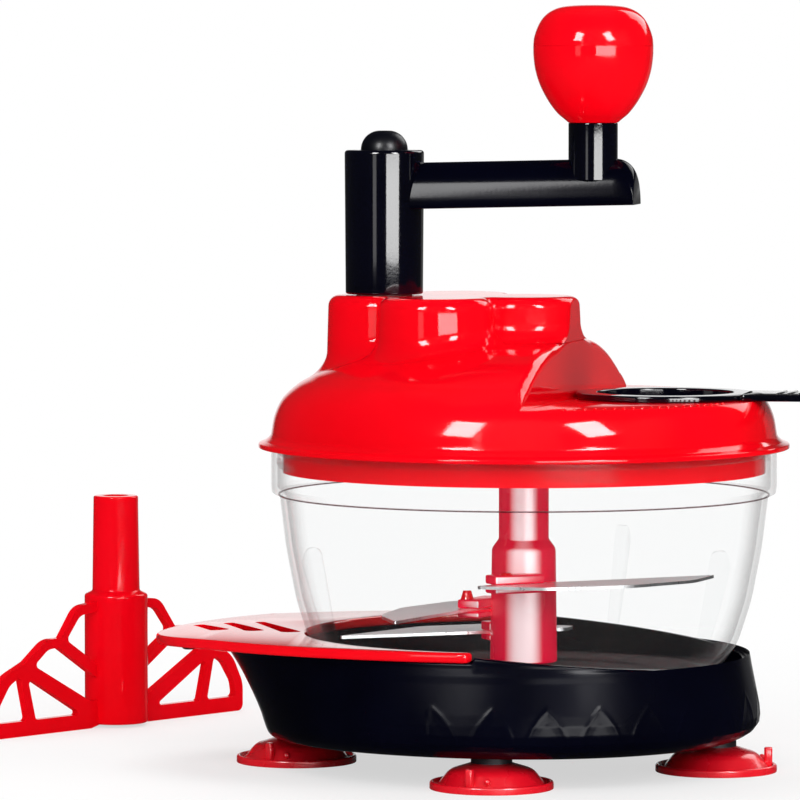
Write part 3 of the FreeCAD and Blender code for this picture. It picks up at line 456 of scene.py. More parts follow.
# %% Finishes on frame nodes
NODE_FINISH = {
    "dark_satin": ["release_button"], "dark_inner": ["base_plate", "deck_stop"], "red_inner": ["gear_cover"],
    "nylon": ["upper_bush", "output_bush", "crank_gear", "output_gear"], "clear_bowl_plastic": ["lid_seal"],
    "turned_steel": ["bowl_pin", "crank_shaft", "crank_clip", "knob_pin", "button_spring"]
    + ["base_screw_%d" % k for k in range(1, 5)] + ["deck_screw_1", "deck_screw_2"]
    + ["cover_screw_%d" % k for k in range(1, 5)],
    "ground_steel": ["blade_upper", "blade_middle", "blade_lower"],
    "red_moulded": ["beater", "blade_peg_upper", "blade_peg_middle", "blade_peg_lower"]}
for finish_name, names in NODE_FINISH.items():
    for node_name in names:
        node_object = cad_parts[node_name]
        node_object.data.materials.clear()
        node_object.data.materials.append(bpy.data.materials[finish_name])
print("finished nodes:", sum(len(names) for names in NODE_FINISH.values()))

# %% [markdown]
# Lid.  The real lid is one glossy moulding: a dome with a thin lip, a lobed tower that flows into the dome, and a
# flat ledge where the dome is cut away.  The dome is spun, split along two planes with Bisect, and the removed
# quarter is closed with a wall and a ledge plate.  This cell measures the dome and the cut.

# %% Lid measures
LIP_Z, LEDGE_Z = 127.2, 147.0
SHEET, PORT_R = 2.2, 30.0
CUT_X, CUT_TURN = 20.8, math.radians(3.7)
CUT_NORMAL = np.array((math.cos(CUT_TURN), -math.sin(CUT_TURN)))
CUT_ALONG = np.array((math.sin(CUT_TURN), math.cos(CUT_TURN)))
CUT_FAR = CUT_X * math.cos(CUT_TURN)
dome_line = [(100.0, 132.6), (98.6, 140), (95.4, 146.6), (89.8, 151.8), (84.5, 154.9), (79.5, 157.4), (65, 163),
             (50, 166.9), (35, 168.9), (20, 170.0), (0, 170.4)]
dome_curve = flowing(dome_line, 6)
dome_r = np.array([p[0] for p in dome_curve])[::-1]
dome_z = np.array([p[1] for p in dome_curve])[::-1]


def dome_height(radius):
    """Height in mm of the dome's surface at a distance from the bowl's axis."""
    return np.interp(radius, dome_r, dome_z)


def rim_rounding(along):
    """Radius in mm of the rounded rim at a place along the cut; it fades at both ends and beside the tower."""
    height = dome_height(np.hypot(CUT_FAR, along)) - LEDGE_Z
    beside = np.clip((np.abs(along) - 12) / 22, 0, 1)
    return np.minimum(4.2, 0.5 * np.maximum(height, 0)) * (0.3 + 0.7 * beside * beside * (3 - 2 * beside))


def cut_point(beyond, height=0.0):
    """The place beside the bowl's axis that lies past the cut plane by some mm."""
    return BOWL_AXIS + Vector((*(CUT_NORMAL * (CUT_FAR + beyond)), height)) * MM


print("dome from", dome_z.min(), "to", dome_z.max(), "mm, cut", round(CUT_FAR, 2), "mm from the axis")

# %% [markdown]
# The spun dome is sliced at the cut plane and at a few planes behind it.  The quarter past the cut is deleted, and
# the slices let the rim of the cut sink in a round, as the mould's edge is never sharp.

# %% Lid dome
RIM_SLICES = (0, 0.1, 0.35, 0.8, 1.4, 2.2, 3.1, 4.2)
outside = rounded([(95.6, 117.6), (95.6, LIP_Z), (105, LIP_Z, 0.4), (105, 128.9, 0.8), (102.4, 129.9, 2),
                   (100.6, 131.4, 2.5), (100.05, 132.4)], closed=False)
inside = [(max(r - 2.3, 0.0), z - (SHEET if r < 90 else 1.0)) for r, z in dome_curve[::-1]]
profile = outside + dome_curve + inside[1:] + [(97.3, 130.0), (93.2, 128.6), (93.2, 117.6)]
dome = lathe("lid_dome", profile, steps=160)
planes = [(cut_point(-back), (*CUT_NORMAL, 0)) for back in RIM_SLICES]
with editing():
    for point, normal in planes + [(Vector((0, 0, LEDGE_Z * MM)), (0, 0, 1))]:
        bpy.ops.mesh.select_all(action="SELECT")
        bpy.ops.mesh.bisect(plane_co=point, plane_no=normal, threshold=1e-7)


def beyond_cut(place):
    """Distance in mm past the cut plane, and the place along it."""
    flat = np.array(((place.x - BOWL_AXIS.x) / MM, (place.y - BOWL_AXIS.y) / MM))
    return float(flat @ CUT_NORMAL) - CUT_FAR, float(flat @ CUT_ALONG)


for face in dome.data.polygons:
    face.select = beyond_cut(face.center)[0] > 0 and face.center.z > LEDGE_Z * MM - 1e-6
with editing():
    bpy.ops.mesh.select_mode(type="FACE")
    bpy.ops.mesh.delete(type="FACE")
    bpy.ops.mesh.select_mode(type="VERT")
for vert in dome.data.vertices:
    beyond, along = beyond_cut(vert.co)
    round_here = float(rim_rounding(along))
    inward = beyond + round_here
    if 0 < inward and beyond < 0.02 and vert.co.z > (LEDGE_Z + 0.01) * MM:
        vert.co.z -= (round_here - math.sqrt(max(round_here ** 2 - min(inward, round_here) ** 2, 0))) * MM
print("dome faces:", len(dome.data.polygons))

# %% [markdown]
# The wall that closes the cut follows the rounded rim and reaches down to the underside of the ledge.  The ledge is
# a plate with the feed port's hole in it, and its ends reach a little under the dome.

# %% Lid wall, ledge and feed port
ledge_r = float(np.interp(-LEDGE_Z, -dome_z, dome_r))
reach = math.sqrt(ledge_r ** 2 - CUT_FAR ** 2)
across = np.linspace(-reach, reach, 65)
wall_top = [(t, float(dome_height(math.hypot(CUT_FAR, t)) - rim_rounding(t))) for t in across]
wall_place = Matrix.Translation(cut_point(0)) @ Matrix(
    ((CUT_ALONG[0], 0, CUT_NORMAL[0], 0), (CUT_ALONG[1], 0, CUT_NORMAL[1], 0), (0, 1, 0, 0), (0, 0, 0, 1)))
wall = plate("lid_wall", wall_top + [(reach, LEDGE_Z - SHEET), (-reach, LEDGE_Z - SHEET)], 0, -SHEET, 0, 1,
             wall_place)
end = math.acos(CUT_FAR / ledge_r)
ledge_outline = [(ledge_r * math.cos(a), ledge_r * math.sin(a)) for a in np.linspace(-end, end, 61) - CUT_TURN]
tucked = [tuple(np.array(ledge_outline[k]) - CUT_NORMAL * SHEET) for k in (0, -1)]
ledge = plate("lid_ledge", [tucked[0]] + ledge_outline + [tucked[1]], LEDGE_Z - SHEET, SHEET, 0.35)
deselect()
bpy.ops.mesh.primitive_cylinder_add(vertices=96, radius=PORT_R * MM, depth=0.02,
                                    location=PORT_AXIS + Vector((0, 0, LEDGE_Z * MM)))
carve(ledge, bpy.context.object)
tube = lathe("lid_port", rounded([(PORT_R, 124, 0.5), (PORT_R + 2.4, 124, 0.5), (PORT_R + 2.4, LEDGE_Z - 0.4),
                                  (PORT_R, LEDGE_Z - 0.02, 0.6)]), PORT_AXIS, 96)
lid_dome = joined("lid_dome", dome, wall, ledge, tube)
finish_piece(lid_dome, "lid", red_moulded, "red_gloss", "lid_shell", angle=40)

# %% [markdown]
# Tower.  Its outline is four overlapping circles with softened valleys.  A skin follows that outline ring by ring:
# flat top, rounded shoulder, drafted wall, then a hollow fillet that lands on the dome, which is how the mould gives
# a smooth transition.

# %% Tower outline
LOBES = [(-56.25, 0.0), (-31.0, -25.0), (-31.0, 25.0), (0.0, 0.0)]
LOBE_R, TOWER_TOP, TOWER_MID = 22.3, 187.0, np.array((-28.2, 0.0))
TOWER_COLUMNS, VALLEY_SHARPNESS, SEAT = 720, 26, 0.02
angles = np.linspace(0, 2 * math.pi, TOWER_COLUMNS + 1)[:-1]


def tower_outline(radius):
    """Distance of the outline from the tower's middle at each angle: the lobes' circles with blended valleys."""
    reach_all = []
    for lobe in LOBES:
        offset = np.array(lobe) - TOWER_MID
        along = offset[0] * np.cos(angles) + offset[1] * np.sin(angles)
        aside = offset @ offset - along ** 2
        inside_root = radius ** 2 - aside
        reach_all.append(np.where(inside_root > 0, along + np.sqrt(np.maximum(inside_root, 0)), 0.1))
    stack = np.stack(reach_all)
    return (np.sum(stack ** VALLEY_SHARPNESS, axis=0)) ** (1 / VALLEY_SHARPNESS)


outline_r = tower_outline(LOBE_R)
for _ in range(3):
    outline_r = (np.roll(outline_r, 1) + outline_r * 2 + np.roll(outline_r, -1)) / 4
outline = np.stack([TOWER_MID[0] + outline_r * np.cos(angles), TOWER_MID[1] + outline_r * np.sin(angles)], 1)
tangent = np.roll(outline, -1, 0) - np.roll(outline, 1, 0)
outward = np.stack([tangent[:, 1], -tangent[:, 0]], 1) / np.linalg.norm(tangent, axis=1)[:, None]
print("tower outline reaches", round(float(outline_r.max()), 1), "mm from its middle")

# %% [markdown]
# The skin's rings run from the middle of the flat top, over the shoulder and down the wall, to the flare on the dome.
# Points that would pass the lid's cut are held on the cut plane.

# %% Lid tower
SHOULDER, FLARE, DRAFT = 4.5, 7.0, 0.5
rings = [("flat", s) for s in (0.0, 0.25, 0.5, 0.75, 0.9)] + [("shoulder", a) for a in np.linspace(0, 90, 9)] \
    + [("wall", w) for w in (0.2, 0.4, 0.6, 0.8)] + [("flare", b) for b in np.linspace(0, 90, 12)]


def tower_skin(u, v):
    column = np.round(u * TOWER_COLUMNS).astype(int) % TOWER_COLUMNS
    row = np.round(v * (len(rings) - 1)).astype(int)
    edge, out = outline[column], outward[column]
    placed = np.zeros((len(u), 3))
    for index, (kind, value) in enumerate(rings):
        mine = row == index
        e, o = edge[mine], out[mine]
        if kind == "flat":
            xy = TOWER_MID + (e - o * SHOULDER - TOWER_MID) * value
            z = np.full(len(xy), TOWER_TOP)
        elif kind == "shoulder":
            a = math.radians(value)
            xy = e + o * (SHOULDER * (math.sin(a) - 1))
            z = np.full(len(xy), TOWER_TOP - SHOULDER * (1 - math.cos(a)))
        else:
            foot = e + o * DRAFT
            low = dome_height(np.hypot(*foot.T)) + FLARE
            if kind == "wall":
                xy = e + o * DRAFT * value
                z = (TOWER_TOP - SHOULDER) * (1 - value) + low * value
            else:
                b = math.radians(value)
                xy = e + o * (DRAFT + FLARE * (1 - math.cos(b)))
                z = dome_height(np.hypot(*xy.T)) + FLARE * (1 - math.sin(b)) + SEAT
        beyond = np.maximum(xy @ CUT_NORMAL - CUT_FAR + SEAT, 0)
        xy = xy - beyond[:, None] * CUT_NORMAL
        placed[mine, 0], placed[mine, 1], placed[mine, 2] = xy[:, 0], xy[:, 1], z
    return placed * MM + np.array(BOWL_AXIS)


tower = skin("lid_tower", TOWER_COLUMNS, len(rings) - 1, tower_skin)
finish_piece(tower, "lid", red_moulded, "red_gloss", "lid_shell", angle=60)

# %% [markdown]
# A row of small pips runs round the front of the ledge.  One pip is modelled and copied, each copy with its own mesh.

# %% Pips
PIP_COUNT, PIP_RING, PIP_FIRST, PIP_STEP = 20, 0.0925, -24, 2.45
deselect()
bpy.ops.mesh.primitive_uv_sphere_add(segments=10, ring_count=6, radius=0.0008)
pips = [bpy.context.object]
while len(pips) < PIP_COUNT:
    bpy.ops.object.duplicate()
    pips.append(bpy.context.object)
for k, pip in enumerate(pips):
    a = math.radians(PIP_FIRST - k * PIP_STEP)
    pip.data.transform(Matrix.Translation(BOWL_AXIS + Vector((PIP_RING * math.cos(a), PIP_RING * math.sin(a),
                                                              LEDGE_Z * MM))))
finish_piece(joined("lid_pips", *pips), "lid", red_moulded, "red_gloss", "lid_shell", angle=60)

# %% [markdown]
# Bowl.  A clear tub with a stepped band under the rim, upright ribs that turn the food, and slanted ramps inside the
# mouth for the lid's lugs.  Wall, foot and band are one spun profile; ribs and ramps are added to it.

# %% Bowl
bowl_out = rounded([(0, 36.5), (59, 36.5, 1), (61, 37.4, 1), (76, 38.2, 14), (84.8, 50, 22), (90.2, 67, 60),
                    (94.2, 88, 80), (96.7, 108.6), (99.6, 109.4, 0.8), (100, 112, 2), (100, LIP_Z, 0.8)], closed=False,
                   arc_step=6)
bowl_in = rounded([(97.6, LIP_Z, 0.8), (97.6, 111.6, 1), (94.4, 108.4, 1), (91.8, 88, 80), (87.8, 67, 60),
                   (82.6, 51, 20), (73.5, 39, 10), (0, 38.9)], closed=False, arc_step=6)
BOWL_STEPS, RIB_TURNS, RAMP_TURNS = 192, (213, 338, 73), (-49, 41, 131, 221)
bowl_wall = lathe("bowl_wall", bowl_out + bowl_in, steps=BOWL_STEPS, closed=False)
boss = lathe("bowl_boss", rounded([(4.05, 38.9), (8, 38.9), (8, 46, 1), (4.05, 46)]), steps=48)
rib_line = rounded([(93.6, 84), (90.2, 93.6, 3), (86.4, 88, 4), (81.6, 62, 20), (78, 46, 10), (60, 38.6),
                    (73, 38.6, 10), (83.4, 51, 20), (88.6, 67, 60)], arc_step=8)
rib = plate("bowl_rib", rib_line, -1.8, 3.6, 0.9, 3, Matrix.Rotation(math.pi / 2, 4, "X"))
ribs = copied(rib, *[shift(0, 0, turn=angle) for angle in RIB_TURNS])
ramp = lathe("bowl_ramp", rounded([(96.1, 120.6, 0.4), (98, 120.6), (98, 122.4), (96.1, 122.4, 0.4)]),
             Vector((0, 0, 0)), 24, start=-9, sweep=18)
for vert in ramp.data.vertices:
    vert.co.z += 0.0012 * math.sin(math.atan2(vert.co.y, vert.co.x) * 8)
ramps = copied(ramp, *[shift(0, 0, turn=angle) for angle in RAMP_TURNS])
bowl = joined("bowl_clear", bowl_wall, boss, *ribs, *ramps)
finish_piece(bowl, "bowl", clear, "clear_plastic", "bowl")

# %% [markdown]
# The inner edge of the bowl's step reads as a thin dark line.  A fine ring lies on that edge, in a see-through finish
# darkened with painted shade and tinted with a painted reflection of the lid's red.

# %% Step edge of the bowl
step_edge = lathe("bowl_step_edge", rounded([(96.5, 108.35), (97.15, 108.35), (97.15, 108.85), (96.5, 108.85)]),
                  steps=BOWL_STEPS)
finish_piece(step_edge, "bowl", step_line_painted_shade, "clear_plastic", "bowl")

# %% [markdown]
# Base.  The hull is round at the stern and drawn out to a prow.  Its flank bulges near the bottom, and pointed
# petals are pressed into the stern half.  A skin with many columns carries the petals as real relief.

# %% Hull rows and petals
hull_rows = [(12.6, 96.5, 80.5), (12.6, 100.3, 84.3), (13.2, 101.3, 86.2), (14.2, 102.0, 88.4), (16, 102.7, 91.2),
             (18.6, 103.5, 93.2), (22, 104.6, 93.6), (26, 106.3, 93.3), (30, 108.2, 92.6), (34, 110.3, 91.8),
             (38, 112.5, 91.0), (42, 115.0, 90.2), (44.5, 116.7, 89.8), (46.4, 118.1, 89.4), (47.8, 119.6, 89.1),
             (48.4, 120.2, 89.0), (49.0, 120.9, 89.0), (49.8, 121.4, 88.6), (49.8, 120.4, 87.7)]
row_at = np.concatenate([[0.0], np.cumsum([math.hypot(b[0] - a[0], max(abs(b[1] - a[1]), abs(b[2] - a[2])))
                                           for a, b in zip(hull_rows, hull_rows[1:])])])
row_at /= row_at[-1]
PETAL_PITCH, PETAL_FIRST, PETAL_COUNT = 12.9, -106.85, 16
PETAL_HALF, PETAL_FOOT, PETAL_TALL = 8.0, 16.5, 16.0
RIDGE_HIGH, RIDGE_WIDE, HOLLOW_DEEP, HOLLOW_WIDE = 0.13, 0.8, 0.12, 3.2
petal_side = np.linspace(0, 1, 60)
petal_edge = np.stack([petal_side * PETAL_HALF, PETAL_FOOT + PETAL_TALL * np.sqrt(1 - petal_side)], 1)


def petal_relief(angle, height):
    """Relief of the petals in mm: hollow inside a pointed arch, with a fine raised ridge along it."""
    start = (angle - PETAL_FIRST) % 360
    side = np.abs((start / PETAL_PITCH) % 1 - 0.5) * math.radians(PETAL_PITCH) * 92.5
    near = np.hypot(side[:, None] - petal_edge[:, 0], height[:, None] - petal_edge[:, 1]).min(axis=1)
    arch = PETAL_FOOT + PETAL_TALL * np.sqrt(np.clip(1 - side / PETAL_HALF, 0, 1))
    within = (side < PETAL_HALF) & (height < arch)
    ridge = RIDGE_HIGH * np.exp(-(near / RIDGE_WIDE) ** 2)
    foot_fade = np.clip((height - 14.5) / 4, 0, 1)
    hollow = np.where(within, -HOLLOW_DEEP * np.clip(near / HOLLOW_WIDE, 0, 1) ** 2 * foot_fade, 0)
    return np.where(start < PETAL_PITCH * PETAL_COUNT, ridge + hollow, 0.0)


print("hull rows:", len(hull_rows), "petals:", PETAL_COUNT)

# %% [markdown]
# Behind the deck the hull's rim steps up and slopes down a little to the stern.  The flank is one skin from the
# underside to the rim; the recess that takes the bowl's foot is a second one, and both belong to one moulding.

# %% Hull
HULL_COLUMNS, HULL_ROWS, RECESS_R, STRETCH_FROM = 1000, 84, 86.5, 46


def rim_height(x):
    """Height in mm of the hull's rim: level under the deck, then a step up and a slope down to the stern."""
    return np.where(x > -4, 51.9 - 0.09 * (x + 4), 49.8)


def hull_skin(u, v):
    angle = u * 2 * math.pi - math.pi
    height = np.interp(v, row_at, [row[0] for row in hull_rows])
    reach_prow = np.interp(v, row_at, [row[1] for row in hull_rows])
    half = np.interp(v, row_at, [row[2] for row in hull_rows])
    relief = petal_relief(np.degrees(angle), height)
    half = half + np.where(np.cos(angle) > -0.2, relief, 0)
    x = np.where(np.cos(angle) > 0, half, reach_prow) * np.cos(angle)
    y = half * np.sin(angle)
    stretched = STRETCH_FROM + (height - STRETCH_FROM) * (rim_height(x) - STRETCH_FROM) / 3.8
    z = np.where(height > STRETCH_FROM, stretched, height)
    return np.stack([x, y, z], 1) * MM + np.array(BOWL_AXIS)


hull = skin("hull_flank", HULL_COLUMNS, HULL_ROWS, hull_skin)


def recess_skin(u, v):
    angle = u * 2 * math.pi - math.pi
    kinds = [("rim", 0), ("wall", 0), ("wall", 1), ("floor", 0.96), ("floor", 0.5), ("floor", 0.0)]
    row = np.round(v * (len(kinds) - 1)).astype(int)
    placed = np.zeros((len(u), 3))
    for index, (kind, value) in enumerate(kinds):
        mine = row == index
        a = angle[mine]
        x, y = RECESS_R * np.cos(a), RECESS_R * np.sin(a)
        if kind == "rim":
            x, y = np.where(np.cos(a) > 0, 87.7, 120.4) * np.cos(a), 87.7 * np.sin(a)
            z = rim_height(x)
        elif kind == "wall":
            z = rim_height(x) * (1 - value) + 36.5 * value
        else:
            x, y, z = x * value, y * value, np.full(len(x), 36.4)
        placed[mine, 0], placed[mine, 1], placed[mine, 2] = x, y, z
    return placed * MM + np.array(BOWL_AXIS)


recess = skin("hull_recess", 240, 5, recess_skin)
base_shell = joined("base_hull_shell", hull, recess)
finish_piece(base_shell, "base", dark_hull, "dark_gloss", "base_hull", angle=50)

# %% [markdown]
# Deck.  A flat red crescent on the prow with three slanted teardrop drains.  It is extruded from its outline and
# bevelled, and the drains are cut.  Its tip is bent down a little, so it is bisected into strips first.

# %% Deck
DECK_LOW, DECK_THICK, DECK_REACH, DECK_HALF = 49.8, 4.0, 148.0, 90.5
DRAINS, DRAIN_TURN = ((-127.6, 34), (-114.4, 40), (-100.4, 46)), -61
TIP_FROM, TIP_LONG, TIP_DROP = -112, 36, 0.0022
outer = [(-DECK_REACH * math.cos(a), DECK_HALF * math.sin(a)) for a in np.linspace(-1.525, 1.525, 121)]
inner_end = math.acos(4.6 / RECESS_R)
inner = [(-RECESS_R * math.cos(a), RECESS_R * math.sin(a)) for a in np.linspace(inner_end, -inner_end, 97)]
deck = plate("deck", outer + inner, DECK_LOW, DECK_THICK, 1.3, 4)
for x, length in DRAINS:
    drop = rounded([(-length / 2, -2.0, 1.5), (length / 2, -4.2, 3.2), (length / 2, 4.2, 3.2),
                    (-length / 2, 2.0, 1.5)])
    carve(deck, plate("slot", drop, DECK_LOW - 5, 15, place=shift(x, 0, turn=DRAIN_TURN)))
activate(deck)
with editing():
    for x in range(-144, -106, 4):
        bpy.ops.mesh.select_all(action="SELECT")
        bpy.ops.mesh.bisect(plane_co=BOWL_AXIS + Vector((x * MM, 0, 0)), plane_no=(1, 0, 0))
for vert in deck.data.vertices:
    past = max(0.0, (TIP_FROM - (vert.co.x - BOWL_AXIS.x) / MM) / TIP_LONG)
    vert.co.z -= TIP_DROP * past ** 1.6
finish_piece(deck, "base", red_deck, "red_gloss", "base_deck", angle=20)

# %% [markdown]
# Suction cups.  Soft rubbery cones with a raised gutter round the lip, a neck, a pull tab and a small nub beside it.

# %% Suction cups
CUP_LINE = rounded([(0, 7.6), (6, 7.4, 2), (14.7, 5.3, 6), (19.2, 0.9, 1), (20.8, 0), (24, 0, 0.4), (24, 3, 0.9),
                    (22.7, 3, 0.6), (22.1, 1.7, 0.5), (20.7, 1.9, 0.4), (16.4, 7.4, 7), (8, 10), (4, 10), (4, 15.6),
                    (5.8, 15.6, 0.4), (5.8, 16.8, 0.4), (3, 18.2), (0, 18.2)], closed=False, arc_step=6)
cone = lathe("cup", CUP_LINE, Vector((0, 0, 0)), 80, closed=False)
flap = plate("flap", rounded([(19, -1.5, 0.9), (22.2, -1.5, 0.9), (22.2, 1.5, 0.9), (19, 1.5, 0.9)]), 1.4, 8.1, 0.5, 2,
             Matrix.Identity(4))
deselect()
bpy.ops.mesh.primitive_uv_sphere_add(segments=20, ring_count=12, radius=0.0014)
nub = bpy.context.object
nub.data.transform(Matrix.Translation((0.0185, 0.0065, 0.0046)))
CUPS = (("prow", -92, 0, -109), ("front", 0, -72, -104), ("back", 0, 72, 191), ("stern", 77, 0, 11))
cups = copied(joined("cup", cone, flap, nub), *[shift(x, y, turn=tab) for key, x, y, tab in CUPS])
for cup, (key, *place) in zip(cups, CUPS):
    cup.name = cup.data.name = "cup_" + key
    finish_piece(cup, "base", red_soft, "soft_red", "suction_cup_" + key)

# %% [markdown]
# Crank.  Column, arm and stem are one dark moulding.  The arm has a flat underside and a half-round back, and its
# far end falls in a quarter circle, so it is a skin: one D-shaped section carried along the arm.  The arm's gloss is
# a little duller than that of the two round posts, so it stays a piece of its own.

# %% Crank
COLUMN_TOP, ARM_LOW, ARM_RISE = 244.4, 220.9, math.tan(math.radians(1.3))
column = lathe("crank_column", rounded([(5.1, 188.5), (11.6, 188.5), (11.6, 187.35), (15.4, 187.35, 0.8),
                                        (15.8, COLUMN_TOP, 1.4), (9.7, COLUMN_TOP, 0.4), (9.7, 227), (5.1, 227)]),
               CRANK_AXIS, 96)
ARM_START, ARM_END, ARM_DEEP, ARM_FALL = 10.5, 101.2, 18.2, 8.5
back = [(10 * math.cos(a), 0.6 + (ARM_DEEP - 0.6) * math.sin(a)) for a in np.linspace(0, math.pi, 41)]
section = [(9.2, 0.0), (9.8, 0.2)] + back + [(-9.8, 0.2), (-9.2, 0.0)]
stations = list(np.linspace(ARM_START, ARM_END - ARM_FALL, 12)) + [
    ARM_END - ARM_FALL + ARM_FALL * math.sin(a) for a in np.linspace(0.1, math.pi / 2, 14)]


def arm_skin(u, v):
    corner = np.round(u * len(section)).astype(int) % len(section)
    station = np.round(v * (len(stations) - 1)).astype(int)
    along = np.array(stations)[station]
    side = np.array([p[0] for p in section])[corner]
    up = np.array([p[1] for p in section])[corner]
    fall = np.sqrt(np.clip(1 - (np.clip(along - (ARM_END - ARM_FALL), 0, ARM_FALL) / ARM_FALL) ** 2, 0, 1))
    up = up * (ARM_DEEP - ARM_FALL * (1 - fall)) / ARM_DEEP
    placed = np.stack([along, side, ARM_LOW + up + along * ARM_RISE], 1)
    return placed * MM + np.array(CRANK_AXIS)


arm = skin("crank_bar", len(section), len(stations) - 1, arm_skin)
with editing():
    bpy.ops.mesh.select_all(action="SELECT")
    bpy.ops.mesh.fill_holes(sides=0)
    face_outwards()
stem = lathe("crank_stem", rounded([(4.05, 233), (9.75, 233), (9.75, 255.4, 0.6), (4.05, 255.4)]), KNOB_AXIS, 72)
finish_piece(joined("crank_body", column, stem), "crank", dark_moulded, "dark_gloss", "crank_arm")
finish_piece(arm, "crank", dark_arm, "dark_gloss", "crank_arm")

# %% [markdown]
# Knob.  An apple-like grip in two halves that meet at a fine groove, both spun from a measured profile.

# %% Knob
SEAM = 285.5
knob_line = flowing([(9.9, 255.4), (11.4, 256.7), (13.8, 258.7), (16.5, 262.0), (19.0, 266.0), (21.3, 270.8),
                     (22.9, 276.2), (23.6, 281.5), (23.7, SEAM)], 5)
knob_cap = flowing([(23.7, SEAM + 0.04), (23.4, 288.6), (22.5, 291.6), (21.3, 294.3), (19.6, 296.8), (17.0, 299.0),
                    (13.4, 300.6), (9.0, 301.35), (4.5, 301.58), (0, 301.6)], 5)
lower = lathe("knob_lower_half", [(4.1, 255.4)] + knob_line[:-1] + [(23.69, SEAM - 0.04), (23.58, SEAM), (4.1, SEAM)],
              KNOB_AXIS, 96)
finish_piece(lower, "knob", red_moulded, "red_gloss", "knob_lower", angle=40)
upper = lathe("knob_upper_half", [(0, SEAM), (23.58, SEAM)] + knob_cap, KNOB_AXIS, 96, closed=False)
finish_piece(upper, "knob", red_moulded, "red_gloss", "knob_upper", angle=40)

# %% [markdown]
# Blade shaft.  A glossy red tube with a thicker collar; each blade sits in the slit of a small clamp block.

# %% Blade shaft
hub = lathe("shaft_tube", rounded([(4.2, 46.2), (8.6, 46.2), (8.6, 42), (13.3, 42, 0.8), (12.65, 87.0, 3.6),
                                   (9.9, 90.8, 1.6), (9.9, 136, 0.8), (6.2, 136), (6.2, 118), (4.2, 118)]), steps=96)
halves = [bar("clamp", (22, 9.6, high - low), 0.8, Matrix.Translation((0, -0.0142, (low + high) / 2 * MM)))
          for low, high in ((-2.4, -0.05), (1.25, 4.8))]
clamp_places = [shift(0, 0, height, angle, Matrix.Translation((along * MM, 0, 0)))
                for height, angle, along in ((73.2, 37, -11), (62.5, 251, 9), (52.0, 211, 0))]
clamps = copied(joined("clamp", *halves), *clamp_places)
finish_piece(joined("blade_shaft", hub, *clamps), "blades", red_shaft, "red_gloss", "blade_hub")

# %% [markdown]
# Egg separator.  A thin dark tray with a round well that hangs in the feed port, and a handle with raised grip
# bars.  The slits round the well are not drawn.

# %% Egg separator
GRIP_COUNT, GRIP_FIRST, GRIP_PITCH = 7, 127.8, 4.2
tray = lathe("tray", rounded([(0, 136.2), (11.6, 136.2, 0.6), (12.4, 137, 0.6), (26.9, 137, 1.5), (26.9, 149.6, 0.7),
                              (35.2, 149.6, 0.8), (35.2, 147.05, 0.6), (28.5, 147.05), (28.5, 135.3, 1.2),
                              (0, 135.3)], closed=False), PORT_AXIS, 96, closed=False)
handle = plate("handle", rounded([(88, -17.5, 2), (99, -16.6, 16), (134.9, -14, 9), (134.9, 14, 9), (99, 16.6, 16),
                                  (88, 17.5, 2)]), 147.05, 2.55, 0.6, 2)
grips = copied(bar("grip", (1.6, 24, 1.1), 0.4, Matrix.Identity(4)),
               *[shift(GRIP_FIRST - GRIP_PITCH * k, 0, 149.6) for k in range(GRIP_COUNT)])
finish_piece(joined("separator_tray", tray, handle, *grips), "separator", dark_moulded, "dark_gloss", "egg_separator")

# %% [markdown]
# Studio.  The pale floor keeps the shadow near the object and fades to white away from it.

# %% Floor
PHI = math.radians(11)
RIGHT = Vector((math.cos(PHI), math.sin(PHI), 0))
DEEP = Vector((-math.sin(PHI), math.cos(PHI), 0))
deselect()
bpy.ops.mesh.primitive_plane_add(size=12)
floor = bpy.context.object
floor.name = "floor"
floor_material, nodes, links, shader, coords = new_material("floor_pale")
links.new(tinted(nodes, links, noise(nodes, links, coords, 3), (0.90, 0.90, 0.90), (0.93, 0.93, 0.93)),
          shader.inputs["Base Color"])
set_inputs(shader, {"Roughness": 0.9, "Specular IOR Level": 0.1})
glow = nodes.new("ShaderNodeEmission")
light_path = nodes.new("ShaderNodeLightPath")
away = nodes.new("ShaderNodeVectorMath")
away.operation = "LENGTH"
shown = nodes.new("ShaderNodeMath")
shown.operation = "MULTIPLY"
links.new(coords.outputs["Object"], away.inputs[0])
links.new(ranged(nodes, links, away.outputs["Value"], 0.62, 1.0, 0.14, 0.55, "SMOOTHSTEP"), shown.inputs[0])
links.new(light_path.outputs["Is Camera Ray"], shown.inputs[1])
blend = nodes.new("ShaderNodeMixShader")
links.new(shown.outputs["Value"], blend.inputs["Fac"])
links.new(shader.outputs["BSDF"], blend.inputs[1])
links.new(glow.outputs["Emission"], blend.inputs[2])
links.new(blend.outputs["Shader"], nodes["Material Output"].inputs["Surface"])
floor.visible_glossy = False
floor.data.materials.append(floor_material)
print("floor:", floor.dimensions.x, "m wide")

# %% [markdown]
# The backdrop is white for the camera and behind clear plastic.  Glossy surfaces see a nearly dark room that is
# bright only straight behind the object, which keeps dark plastic dark and draws pale edges on the red.

